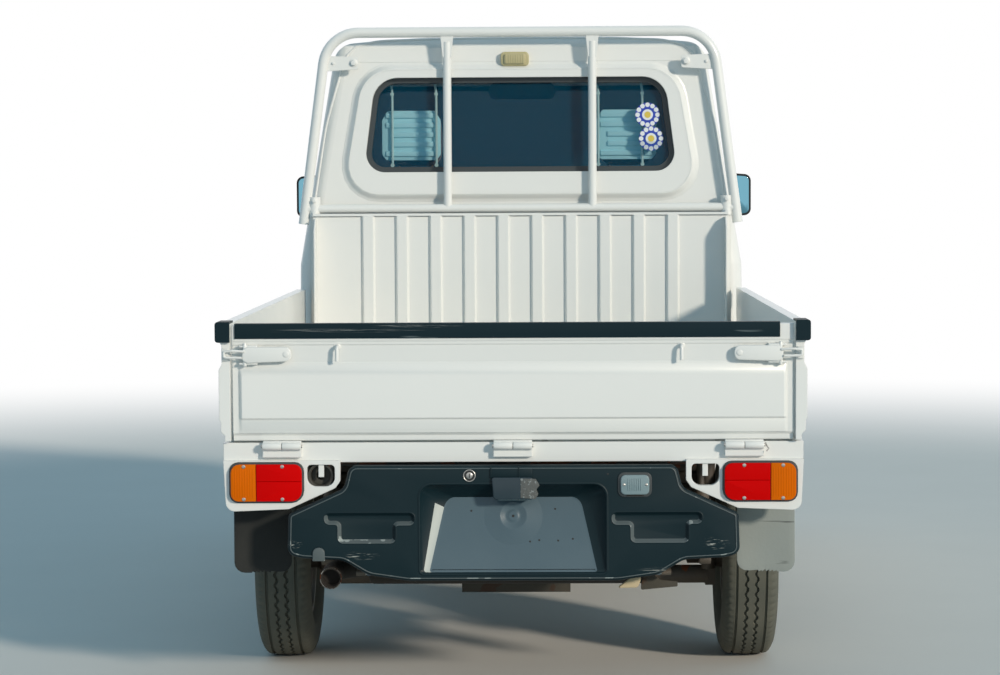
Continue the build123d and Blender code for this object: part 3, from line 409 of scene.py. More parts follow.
WHITE = shade(234, 234, 230)
RUST = shade(120, 66, 36)
PAINT = Finish(
    "white_paint", WHITE, 0.3, "white_paint", coat=0.3, dirt=shade(164, 160, 150), dirt_amount=0.07,
    dirt_high=0.8, grain_scale=420.0, grain_depth=0.00015, tone=0.04, edge=0.003,
)
BED_PAINT = Finish(
    "bed_paint", shade(214, 215, 209), 0.42, "white_paint", coat=0.1, dirt=shade(128, 118, 100),
    dirt_amount=0.5, dirt_high=0.9, chips=RUST, chip_amount=0.16, chip_scale=7.0,
    scratch=shade(150, 148, 140), scratch_amount=0.55, scratch_turn=(0.0, 0.0, math.pi / 2),
    grain_scale=200.0, grain_depth=0.0002, edge=0.003,
)
CHASSIS = Finish(
    "chassis_paint", shade(44, 45, 46), 0.5, "chassis_paint", dirt=shade(120, 106, 88), dirt_amount=0.5,
    dirt_high=0.9, chips=RUST, chip_amount=0.35, chip_scale=11.0, grain_scale=150.0, grain_depth=0.0004,
)
LID_PLASTIC = Finish(
    "lid_plastic", shade(4, 32, 39), 0.34, "dark_plastic", dirt=shade(84, 98, 104), dirt_amount=0.03,
    dirt_low=0.25, dirt_high=0.75, scratch=shade(86, 102, 108), scratch_amount=0.12,
    grain_scale=520.0, grain_depth=0.0002, tone=0.25, specular=0.22, spot_color=shade(168, 170, 164),
    spots=(
        ((0.480, -1.636, 0.400), (0.035, 0.05, 0.018)), ((0.37, -1.636, 0.337), (0.11, 0.05, 0.008)),
        ((-0.365, -1.636, 0.372), (0.05, 0.05, 0.012)), ((-0.52, -1.636, 0.40), (0.02, 0.05, 0.012)),
    ),
)
# Lighter copy of the lid plastic for the up-tilted floor: a painted sky reflection, with dust on it.
LID_FLOOR_PAINTED_SKY = Finish(
    "lid_floor_painted_sky_plastic", shade(78, 98, 108), 0.3, "dark_plastic", dirt=shade(104, 120, 128),
    dirt_amount=0.2, dirt_low=0.3, dirt_high=0.6, scratch=shade(120, 136, 142), scratch_amount=0.1,
    grain_scale=520.0, grain_depth=0.0003, tone=0.16, specular=0.3,
)
# Pale plastic at the foot of the plate space's left wall: a painted highlight of the sun's glint.
LID_PAINTED_HIGHLIGHT = Finish(
    "painted_highlight_lid_plastic", shade(186, 192, 186), 0.36, "dark_plastic", dirt_amount=0.0, grain_scale=520.0,
    grain_depth=0.0002, tone=0.1, specular=0.5,
)
# Pale worn plastic: the lid's tab in its own colour, and painted highlights on the bands' sunward walls and
# along the rim.
PALE_PLASTIC_AND_HIGHLIGHT = Finish(
    "worn_pale_plastic_and_painted_highlight", shade(84, 98, 102), 0.3, "dark_plastic", dirt_amount=0.1,
    chips=shade(150, 158, 156), chip_amount=0.3, chip_scale=30.0, grain_scale=520.0, tone=0.3, specular=0.3,
)
TRIM_PLASTIC = Finish(
    "trim_plastic", shade(28, 35, 39), 0.5, "dark_plastic", dirt_amount=0.1, grain_scale=600.0,
    grain_depth=0.0002, tone=0.15, specular=0.3,
)
RUBBER = Finish(
    "edge_rubber", shade(20, 40, 47), 0.5, "rubber", dirt=shade(96, 98, 94), dirt_amount=0.04,
    scratch=shade(120, 132, 134), scratch_amount=0.3, grain_scale=260.0, grain_depth=0.0004, tone=0.25,
    specular=0.12,
    spot_color=shade(196, 200, 197),
    spots=(
        ((-0.40, -1.62, 0.908), (0.2, 0.05, 0.006)), ((-0.23, -1.62, 0.918), (0.12, 0.05, 0.005)),
    ),
)
SEAL = Finish(
    "seal_rubber", shade(56, 63, 66), 0.4, "rubber", dirt_amount=0.05, grain_scale=300.0,
    grain_depth=0.0002, specular=0.4,
)
# Darker copy of the flap rubber for the left flap: painted shade from the lid.
PAINTED_SHADE_FLAP = Finish(
    "painted_shade_flap_rubber", shade(34, 37, 38), 0.7, "rubber", dirt=shade(80, 78, 72), dirt_amount=0.3,
    dirt_high=0.7, grain_scale=120.0, grain_depth=0.0006, tone=0.2, specular=0.2,
)
FLAP = Finish(
    "flap_rubber", shade(150, 157, 153), 0.7, "rubber", dirt=shade(154, 152, 142), dirt_amount=0.3,
    dirt_high=0.7, scratch=shade(86, 90, 88), scratch_amount=0.3, grain_scale=120.0, grain_depth=0.0006,
    tone=0.2,
)
TYRE_RUBBER = Finish(
    "tyre_rubber", shade(78, 82, 76), 0.8, "tyre", dirt=shade(132, 126, 110), dirt_amount=0.3, dirt_low=0.0,
    dirt_high=0.9, grain_scale=240.0, grain_depth=0.0005, tone=0.2, specular=0.25,
)
WHEEL_PAINT = Finish(
    "wheel_paint", shade(196, 198, 196), 0.38, "wheel_paint", coat=0.2, dirt=shade(112, 98, 80),
    dirt_amount=0.7, dirt_high=0.9, chips=RUST, chip_amount=0.09, chip_scale=16.0, grain_scale=200.0,
    grain_depth=0.0002,
)
STEEL = Finish(
    "zinc_steel", shade(176, 178, 176), 0.34, "wheel_paint", metallic=1.0, dirt_amount=0.2, chips=RUST,
    chip_amount=0.14, chip_scale=60.0, grain_scale=400.0, grain_depth=0.0001,
)
# Dark cast metal: its own grey, darkened further as painted shade under the truck.
CAST_AND_PAINTED_SHADE = Finish(
    "cast_metal", shade(66, 66, 62), 0.6, "cast_metal", metallic=0.3, dirt=shade(80, 74, 62),
    dirt_amount=0.5, dirt_high=0.8, chips=shade(74, 58, 46), chip_amount=0.2, chip_scale=12.0,
    grain_scale=180.0, grain_depth=0.0005,
)
# Rusty steel, darkened further: partly the pipe's own black, partly painted shade under the truck's tail.
RUST_AND_PAINTED_SHADE = Finish(
    "rusty_steel", shade(24, 22, 18), 0.8, "rusty_steel", dirt=shade(44, 36, 26), dirt_amount=0.4,
    dirt_high=0.7, chips=shade(34, 30, 26), chip_amount=0.5, chip_scale=10.0, grain_scale=260.0,
    grain_depth=0.0006, tone=0.3,
)
RED_LENS = Finish(
    "red_lens", shade(222, 2, 2), 0.25, "red_lens", dirt_amount=0.0, grain_scale=60.0, tone=0.25,
    specular=0.06,
)
AMBER_LENS = Finish(
    "amber_lens", shade(236, 112, 4), 0.25, "amber_lens", dirt_amount=0.0, grain_scale=60.0, tone=0.3,
    specular=0.06,
)
CLEAR_LENS = Finish(
    "clear_lens", shade(138, 162, 168), 0.16, "clear_lens", coat=0.1, dirt_amount=0.1, grain_scale=90.0,
    tone=0.4,
)
LAMP_BEIGE = Finish(
    "bed_lamp_lens", shade(190, 180, 136), 0.35, "clear_lens", coat=0.3, grain_scale=120.0, tone=0.2,
)
BUMPER = Finish(
    "bumper_plastic", shade(168, 170, 168), 0.5, "bumper_plastic", dirt=shade(120, 112, 98),
    dirt_amount=0.4, scratch=shade(120, 122, 120), scratch_amount=0.25, grain_scale=400.0,
    grain_depth=0.0002,
)
CAB_PLASTIC = Finish(
    "cab_plastic", shade(84, 86, 88), 0.6, "cab_plastic", dirt_amount=0.1, grain_scale=700.0,
    grain_depth=0.0003,
)
SHELL_PLASTIC = Finish(
    "seat_shell_plastic", shade(190, 244, 252), 0.45, "cab_plastic", dirt_amount=0.03, grain_scale=500.0,
    grain_depth=0.0001,
)
GLOSS_PLASTIC = Finish(
    "smoked_plastic", shade(34, 54, 64), 0.24, "dark_plastic", dirt=shade(104, 112, 112), dirt_amount=0.3,
    dirt_low=0.3, dirt_high=0.6, scratch=shade(120, 128, 130), scratch_amount=0.3, grain_scale=300.0,
    tone=0.3, specular=0.4,
)
WORN_PLASTIC = Finish(
    "worn_plastic", shade(78, 86, 88), 0.6, "dark_plastic", dirt_amount=0.2, chips=shade(124, 130, 130),
    chip_amount=0.35, chip_scale=170.0, grain_scale=160.0, grain_depth=0.002, tone=0.4,
)
BAR_PAINT = Finish("bar_paint", shade(200, 232, 228), 0.4, "white_paint", dirt_amount=0.03)
VISOR_CLOTH = Finish(
    "visor_cloth", shade(150, 150, 146), 0.9, "seat_cloth", grain_scale=800.0, grain_depth=0.0004,
)
CARD_PLASTIC = Finish(
    "card_plastic", shade(126, 128, 128), 0.65, "cab_plastic", dirt_amount=0.1, grain_scale=700.0,
    grain_depth=0.0003,
)
# Bluish mirror: the blue is a painted reflection of a blue sky.
MIRROR_PAINTED_SKY = Finish(
    "mirror_glass", shade(122, 178, 197), 0.05, "clear_lens", metallic=1.0, grain_scale=20.0,
)
REAR_GLASS = Finish(
    "rear_glass", shade(2, 92, 124), 0.03, "glass", alpha=0.16, dirt_amount=0.0, tone=0.02,
    grain_scale=10.0, specular=0.1,
)
DOOR_GLASS = Finish(
    "door_glass_tint", shade(16, 100, 122), 0.03, "glass", alpha=0.42, dirt_amount=0.0, tone=0.02,
)
GLASS = Finish(
    "tinted_glass", shade(16, 112, 142), 0.03, "glass", alpha=0.86, dirt_amount=0.0, tone=0.02,
    grain_scale=10.0, specular=0.3,
)
CHROME = Finish(
    "worn_chrome", shade(200, 204, 200), 0.25, "rusty_steel", metallic=1.0, chips=RUST, chip_amount=0.4,
    chip_scale=70.0, grain_scale=300.0,
)
BEIGE_STEEL = Finish(
    "primed_steel", shade(206, 188, 150), 0.6, "chassis_paint", dirt_amount=0.2, chips=RUST,
    chip_amount=0.2, chip_scale=30.0, grain_scale=300.0, grain_depth=0.0003,
)
SEAT_CLOTH = Finish(
    "seat_cloth", shade(96, 98, 102), 0.85, "seat_cloth", dirt_amount=0.1, grain_scale=900.0,
    grain_depth=0.0006, sheen=0.3, tone=0.2,
)
PLAIN_BLUE = Finish("sticker_blue", shade(36, 66, 176), 0.4, "white_paint", dirt_amount=0.0)
PLAIN_WHITE = Finish("sticker_white", shade(232, 234, 236), 0.4, "white_paint", dirt_amount=0.0)
PLAIN_YELLOW = Finish("sticker_yellow", shade(222, 196, 84), 0.4, "white_paint", dirt_amount=0.0)


NODE_FINISHES: dict[Finish, tuple[str, ...]] = {
    PAINT: (
        "side_sills", "headboard", "headboard_posts", "guard_frame", "rear_sill", "tailgate",
        "side_gate_right", "side_gate_left", "cab_roof", "cab_rear_wall", "cab_side_right",
        "cab_side_left", "front_panel", "door_right", "door_left",
    ),
    BED_PAINT: ("bed_floor", "cab_floor"),
    CHASSIS: ("frame_rails", "cross_members", "front_suspension", "rear_suspension", "fuel_tank"),
    RUBBER: ("gate_cap_right", "gate_cap_left", "tailgate_rubber"),
    SEAL: ("window_seals",),
    FLAP: ("mudflaps",),
    LID_PLASTIC: ("engine_lid",),
    TRIM_PLASTIC: ("mirror_right", "mirror_left", "wipers"),
    RED_LENS: ("tail_lamps_red",),
    AMBER_LENS: ("tail_lamps_amber", "front_signals"),
    CLEAR_LENS: ("lid_lamps", "headlamps"),
    CAST_AND_PAINTED_SHADE: ("knuckle_right", "knuckle_left", "engine_block", "driveline"),
    RUST_AND_PAINTED_SHADE: ("exhaust",),
    WHEEL_PAINT: ("rim_front_right", "rim_front_left", "rim_rear_right", "rim_rear_left", "spare_rim"),
    TYRE_RUBBER: ("tyre_front_right", "tyre_front_left", "tyre_rear_right", "tyre_rear_left", "spare_tyre"),
    BUMPER: ("front_bumper",),
    REAR_GLASS: ("rear_window",),
    DOOR_GLASS: ("door_glass_right", "door_glass_left"),
    GLASS: ("windscreen",),
    CAB_PLASTIC: ("dashboard", "cab_controls", "steering_wheel"),
    SEAT_CLOTH: ("seats",),
}


def dress_nodes(nodes: dict[str, Thing]) -> None:
    """Gives every carried-over CAD node its finish.

    Args:
        nodes: The frame's nodes by name.
    """
    for finish, names in NODE_FINISHES.items():
        for name in names:
            mesh = nodes[name].data
            mesh.materials.clear()
            mesh.materials.append(finish.material())


# Modelling


class Facing(Enum):
    """Plane that an outline is drawn in, and the axis that its prism runs along."""

    REAR = (0, 2, 1)
    SIDE = (1, 2, 0)
    TOP = (0, 1, 2)

    def point(self, first: float, second: float, depth: float) -> Vector:
        """Point in metres of an outline's two coordinates and its depth, in millimetres."""
        spot = [0.0, 0.0, 0.0]
        for axis, value in zip(self.value, (first, second, depth)):
            spot[axis] = value * MM
        return Vector(spot)


def corner_offset(before: Vector, corner: Vector, after: Vector, radius: float) -> float:
    """Distance along its edges at which a corner's rounding starts."""
    turn = (corner - before).angle(after - corner)
    return radius * MM * math.tan(turn / 2)


def rectangle(left: float, low: float, right: float, high: float) -> list[Pair]:
    """Corners of a rectangle, from the low left one."""
    return [(left, low), (right, low), (right, high), (left, high)]


def symmetric(x: float, *halves: Pair) -> list[Pair]:
    """Outline that is the same on both sides of a line, from rows of (half width, height) upwards.

    Args:
        x: Place of the middle line.
        halves: Half width and height of each pair of corners.

    Returns:
        Corners, from the low left one.
    """
    (first, low), *others = halves
    right = [(x + half, height) for half, height in others]
    left = [(x - half, height) for half, height in reversed(others)]
    return [(x - first, low), (x + first, low), *right, *left]


def rounded_face(
    part: Mesh, spots: Sequence[Vector], radii: Sequence[float], segments: int,
) -> Face:
    """Adds a face with rounded corners.

    Args:
        part: The mesh that gets the face.
        spots: Corners in metres.
        radii: Radius of each corner in millimetres.
        segments: Steps of a corner's rounding.

    Returns:
        The new face.
    """
    others = set(part.faces)
    verts = [part.verts.new(spot) for spot in spots]
    part.faces.new(verts)
    for k, radius in enumerate(radii):
        if radius:
            reach = corner_offset(spots[k - 1], spots[k], spots[(k + 1) % len(spots)], radius)
            bmesh.ops.bevel(
                part, geom=[verts[k]], offset=reach, affect="VERTICES", segments=segments, profile=0.5,
                material=-1,
            )
    return next(face for face in part.faces if face not in others)


def rear_face(
    part: Mesh, points: Sequence[Pair], radii: Sequence[float], y: float,
) -> Face:
    """Adds a face with rounded corners that looks rearwards."""
    face = rounded_face(part, [Facing.REAR.point(x, z, y) for x, z in points], radii, 6)
    face.normal_update()
    if face.normal.y > 0:
        face.normal_flip()
    return face


def inset(part: Mesh, face: Face, width: float, depth: float = 0.0) -> None:
    """Insets a face by a width and moves it along its normal, both in millimetres."""
    bmesh.ops.inset_region(
        part, faces=[face], thickness=width * MM, depth=depth * MM, use_even_offset=True, use_boundary=True,
    )


def inset_rounded(part: Mesh, face: Face, radius: float, way: int) -> None:
    """Rounds from a flat face into a wall (way -1, sinking) or out of one (way 1, rising)."""
    turns = [math.radians(angle) for angle in (0, 30, 60, 90)]
    rows = [(math.sin(turn), 1 - math.cos(turn)) for turn in turns]
    if way > 0:
        rows = [(along, across) for across, along in rows]
    for (across, along), (next_across, next_along) in zip(rows, rows[1:]):
        inset(part, face, (next_across - across) * radius, way * (next_along - along) * radius)


def spun(profile: Sequence[Pair], steps: int) -> Mesh:
    """A closed profile of (along Z, radius) in millimetres, spun round Z."""
    part = bmesh.new()
    verts = [part.verts.new((radius * MM, 0.0, along * MM)) for along, radius in profile]
    edges = [part.edges.new((verts[k - 1], verts[k])) for k in range(len(verts))]
    bmesh.ops.spin(
        part, geom=verts + edges, cent=(0, 0, 0), axis=(0, 0, 1), angle=2 * math.pi, steps=steps,
        use_merge=True, use_duplicate=False,
    )
    bmesh.ops.remove_doubles(part, verts=part.verts[:], dist=WELD)
    return part


def set_down(part: Mesh, place: Vector, way: Vector) -> None:
    """Turns a part's Z axis along a direction and moves its origin to a place in metres."""
    turn = way.to_track_quat("Z", "Y").to_matrix().to_4x4()
    bmesh.ops.transform(part, matrix=Matrix.Translation(place) @ turn, verts=part.verts[:])


class Shape:
    """A mesh being modelled with bmesh operators in the truck's frame; sizes are given in millimetres."""

    def __init__(self) -> None:
        self.mesh = bmesh.new()

    def absorb(self, part: Mesh) -> Shape:
        """Takes over a finished closed part, with its faces turned outwards."""
        bmesh.ops.recalc_face_normals(part, faces=part.faces[:])
        holder = bpy.data.meshes.new("part")
        part.to_mesh(holder)
        part.free()
        self.mesh.from_mesh(holder)
        bpy.data.meshes.remove(holder)
        return self

    def prism(
        self, facing: Facing, points: Sequence[Pair], span: Pair,
        radii: float | Sequence[float] = 0.0, rim: float = 0.0, segments: int = 4,
    ) -> Shape:
        """Adds a prism of an outline with rounded corners.

        Args:
            facing: Plane of the outline.
            points: Corners in order.
            span: Start and end of the prism; the end is the face that shows.
            radii: Radius of every corner, or one for each.
            rim: Rounding of the edges of the end face.
            segments: Steps of a corner's rounding.

        Returns:
            This shape.
        """
        part = bmesh.new()
        spots = [facing.point(first, second, span[0]) for first, second in points]
        each = radii if isinstance(radii, Sequence) else [radii] * len(spots)
        rounded_face(part, spots, each, segments)
        raised = bmesh.ops.extrude_face_region(part, geom=part.faces[:])
        ends = [item for item in raised["geom"] if isinstance(item, bmesh.types.BMVert)]
        along = facing.point(0, 0, span[1] - span[0])
        bmesh.ops.translate(part, vec=along, verts=ends)
        if rim:
            shown = set(ends)
            edges = [edge for edge in part.edges if edge.verts[0] in shown and edge.verts[1] in shown]
            self.round_edges(part, edges, rim)
        return self.absorb(part)

    @staticmethod
    def round_edges(part: Mesh, edges: list, radius: float, segments: int = 3) -> None:
        """Rounds edges of a part."""
        bmesh.ops.bevel(
            part, geom=edges, offset=radius * MM, affect="EDGES", segments=segments, profile=0.5,
            material=-1, clamp_overlap=True,
        )

    def block(self, low: Point, high: Point, rim: float = 0.0) -> Shape:
        """Adds a block between two corners, with all its edges rounded."""
        part = bmesh.new()
        bmesh.ops.create_cube(part, size=1.0)
        size = Vector(high) - Vector(low)
        bmesh.ops.scale(part, vec=size * MM, verts=part.verts[:])
        bmesh.ops.translate(part, vec=(Vector(low) + size / 2) * MM, verts=part.verts[:])
        if rim:
            self.round_edges(part, part.edges[:], rim)
        return self.absorb(part)

    def rod(
        self, start: Point, end: Point, radius: float, end_radius: float | None = None, sides: int = 24,
        rim: float = 0.0,
    ) -> Shape:
        """Adds a round bar or cone between two points, with rounded rims."""
        part = bmesh.new()
        low, high = Vector(start) * MM, Vector(end) * MM
        last = radius if end_radius is None else end_radius
        bmesh.ops.create_cone(
            part, cap_ends=True, segments=sides, radius1=radius * MM, radius2=last * MM,
            depth=(high - low).length,
        )
        if rim:
            rings = [edge for edge in part.edges if abs(edge.verts[0].co.z - edge.verts[1].co.z) < 1e-7]
            self.round_edges(part, rings, rim, 2)
        set_down(part, (low + high) / 2, high - low)
        return self.absorb(part)

    def lathe(self, center: Point, axis: Point, profile: Sequence[Pair], steps: int = 48) -> Shape:
        """Adds a closed profile of (along the axis, radius) spun round an axis through a point."""
        part = spun(profile, steps)
        set_down(part, Vector(center) * MM, Vector(axis))
        return self.absorb(part)

    def pipe(self, points: Sequence[Point], radius: float, bend: float = 0.5, smooth: bool = True) -> Shape:
        """Adds a round bar that follows a smooth line through points.

        Args:
            points: Points of the line.
            radius: Radius of the bar.
            bend: Share of each run that its ends' bends take.
            smooth: False keeps the corners sharp.

        Returns:
            This shape.
        """
        curve = bpy.data.curves.new("pipe", "CURVE")
        curve.dimensions = "3D"
        curve.bevel_depth = radius * MM
        curve.bevel_resolution = 3
        curve.use_fill_caps = True
        route = [Vector(point) * MM for point in points]
        if smooth:
            eased = [route[0]]
            for before, corner, after in zip(route, route[1:], route[2:]):
                eased += [corner.lerp(before, bend * 0.9), corner, corner.lerp(after, bend * 0.9)]
            route = eased + [route[-1]]
        spline = curve.splines.new("NURBS" if smooth else "POLY")
        spline.points.add(len(route) - 1)
        for target, spot in zip(spline.points, route):
            target.co = (*spot, 1.0)
        if smooth:
            spline.order_u = 3
            spline.use_endpoint_u = True
            spline.resolution_u = 6
        holder = bpy.data.objects.new("pipe", curve)
        mesh = bpy.data.meshes.new_from_object(holder)
        self.mesh.from_mesh(mesh)
        bpy.data.objects.remove(holder)
        bpy.data.curves.remove(curve)
        bpy.data.meshes.remove(mesh)
        return self

    def bridge(self, rings: Sequence[Sequence[Point]]) -> Shape:
        """Adds a skin over rings of as many points each, closed at both ends."""
        part = bmesh.new()
        loops = []
        for ring in rings:
            verts = [part.verts.new(Vector(point) * MM) for point in ring]
            loops.append([part.edges.new((verts[k - 1], verts[k])) for k in range(len(verts))])
        for first, second in zip(loops, loops[1:]):
            bmesh.ops.bridge_loops(part, edges=first + second)
        for loop in (loops[0], loops[-1]):
            bmesh.ops.contextual_create(part, geom=loop)
        return self.absorb(part)

    def mirrored(self) -> Shape:
        """Adds the mirror image on the other side of the truck."""
        copy = bpy.data.meshes.new("mirror")
        self.mesh.to_mesh(copy)
        copy.transform(Matrix.Scale(-1, 4, (1, 0, 0)))
        copy.flip_normals()
        self.mesh.from_mesh(copy)
        bpy.data.meshes.remove(copy)
        return self

    def flipped(self) -> Shape:
        """Mirrors the whole shape to the other side of the truck."""
        bmesh.ops.transform(self.mesh, matrix=Matrix.Scale(-1, 4, (1, 0, 0)), verts=self.mesh.verts[:])
        bmesh.ops.reverse_faces(self.mesh, faces=self.mesh.faces[:])
        return self

    def piece(
        self, name: str, body: str, finish: Finish, *nodes: str, angle: float = 35.0,
    ) -> Thing:
        """Ends the modelling.

        Args:
            name: Name of the piece.
            body: Body that the piece rides on.
            finish: Finish of its whole surface.
            nodes: CAD nodes that it stands for.
            angle: Edges sharper than this many degrees stay hard.

        Returns:
            The new object.
        """
        mesh = bpy.data.meshes.new(name)
        self.mesh.to_mesh(mesh)
        self.mesh.free()
        mesh.shade_smooth()
        mesh.set_sharp_from_angle(angle=math.radians(angle))
        mesh.materials.append(finish.material())
        piece = bpy.data.objects.new(name, mesh)
        bpy.context.scene.collection.objects.link(piece)
        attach(piece, body)
        if nodes:
            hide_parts(*nodes)
        return piece


# Camera, light and floor


@dataclass
class Studio:
    """Pale floor, soft sun from the right rear and the photograph's camera."""

    camera_place: Point = (0.085, -7.705, 1.262)
    camera_turn: Point = (math.radians(86.5), 0.0, math.radians(1.073))
    camera_roll: float = math.radians(-0.31)
    lens: float = 92.68
    sun_way: Point = (0.637, -0.70, 0.318)
    sun_energy: float = 2.6
    sun_angle: float = math.radians(6)
    sun_color: Color = (1.0, 0.9, 0.77)
    sky: Color = (0.38, 0.74, 1.0)
    sky_strength: float = 0.42
    floor_color: Color = (0.72, 0.69, 0.64)
    floor_half: float = 30.0
    fade: Pair = (4.0, 9.0)

    def build(self) -> None:
        """Makes the camera, the sun, the world and the floor."""
        scene = bpy.context.scene
        scene.view_settings.view_transform = "Standard"
        self.make_camera(scene)
        self.make_sun(scene)
        self.make_world(scene)
        self.make_floor(scene)

    def make_camera(self, scene: bpy.types.Scene) -> None:
        """Camera at the photograph's place."""
        data = bpy.data.cameras.new("camera")
        data.lens = self.lens
        camera = bpy.data.objects.new("camera", data)
        camera.location = self.camera_place
        turn = Euler(self.camera_turn).to_matrix() @ Matrix.Rotation(self.camera_roll, 3, "Z")
        camera.rotation_euler = turn.to_euler()
        scene.collection.objects.link(camera)
        scene.camera = camera

    def make_sun(self, scene: bpy.types.Scene) -> None:
        """Soft sun low at the right rear."""
        data = bpy.data.lights.new("sun", "SUN")
        data.energy = self.sun_energy
        data.angle = self.sun_angle
        data.color = self.sun_color
        sun = bpy.data.objects.new("sun", data)
        sun.rotation_euler = Vector(self.sun_way).to_track_quat("Z", "Y").to_euler()
        scene.collection.objects.link(sun)

    @staticmethod
    def seen_directly(graph: Graph) -> Socket:
        """1 for rays from the camera, a mirror or through glass, otherwise 0."""
        path = graph.add("ShaderNodeLightPath")
        either = graph.math("MAXIMUM", path.outputs["Is Camera Ray"], path.outputs["Is Glossy Ray"])
        return graph.math("MAXIMUM", either, path.outputs["Is Transmission Ray"])

    def make_world(self, scene: bpy.types.Scene) -> None:
        """White background that lights the object with a pale blue sky."""
        world = bpy.data.worlds.new("world")
        scene.world = world
        graph = Graph.emptied(world)
        sky, white = (graph.add("ShaderNodeBackground") for _ in range(2))
        graph.feed(sky, Color=(*self.sky, 1.0), Strength=self.sky_strength)
        graph.feed(white, Color=FULL_WHITE, Strength=1.0)
        chosen = graph.mix_shaders(self.seen_directly(graph), sky, white)
        graph.feed(graph.add("ShaderNodeOutputWorld"), Surface=chosen)

    def make_floor(self, scene: bpy.types.Scene) -> None:
        """Pale floor that fades to white with distance."""
        mesh = bmesh.new()
        bmesh.ops.create_grid(mesh, x_segments=2, y_segments=2, size=self.floor_half)
        data = bpy.data.meshes.new("floor")
        mesh.to_mesh(data)
        mesh.free()
        data.materials.append(self.floor_material())
        floor = bpy.data.objects.new("floor", data)
        scene.collection.objects.link(floor)

    def floor_material(self) -> bpy.types.Material:
        """Matte floor near the truck, white light further out."""
        material = bpy.data.materials.new("floor")
        graph = Graph.emptied(material)
        where = graph.object_place()
        fade = graph.ramp(graph.length(where), *self.fade, smooth=True)
        share = graph.math("MULTIPLY", fade, self.seen_directly(graph))
        paler = tuple(level * 1.06 for level in self.floor_color)
        tone = graph.mix(graph.noise(where, 2.5, 6.0), self.floor_color, paler)
        matte = graph.feed(graph.add("ShaderNodeBsdfPrincipled"), Base_Color=tone, Roughness=0.9)
        white = graph.feed(graph.add("ShaderNodeEmission"), Color=FULL_WHITE, Strength=1.0)
        graph.feed(graph.add("ShaderNodeOutputMaterial"), Surface=graph.mix_shaders(share, matte, white))
        return material


# Tailgate and rear corners


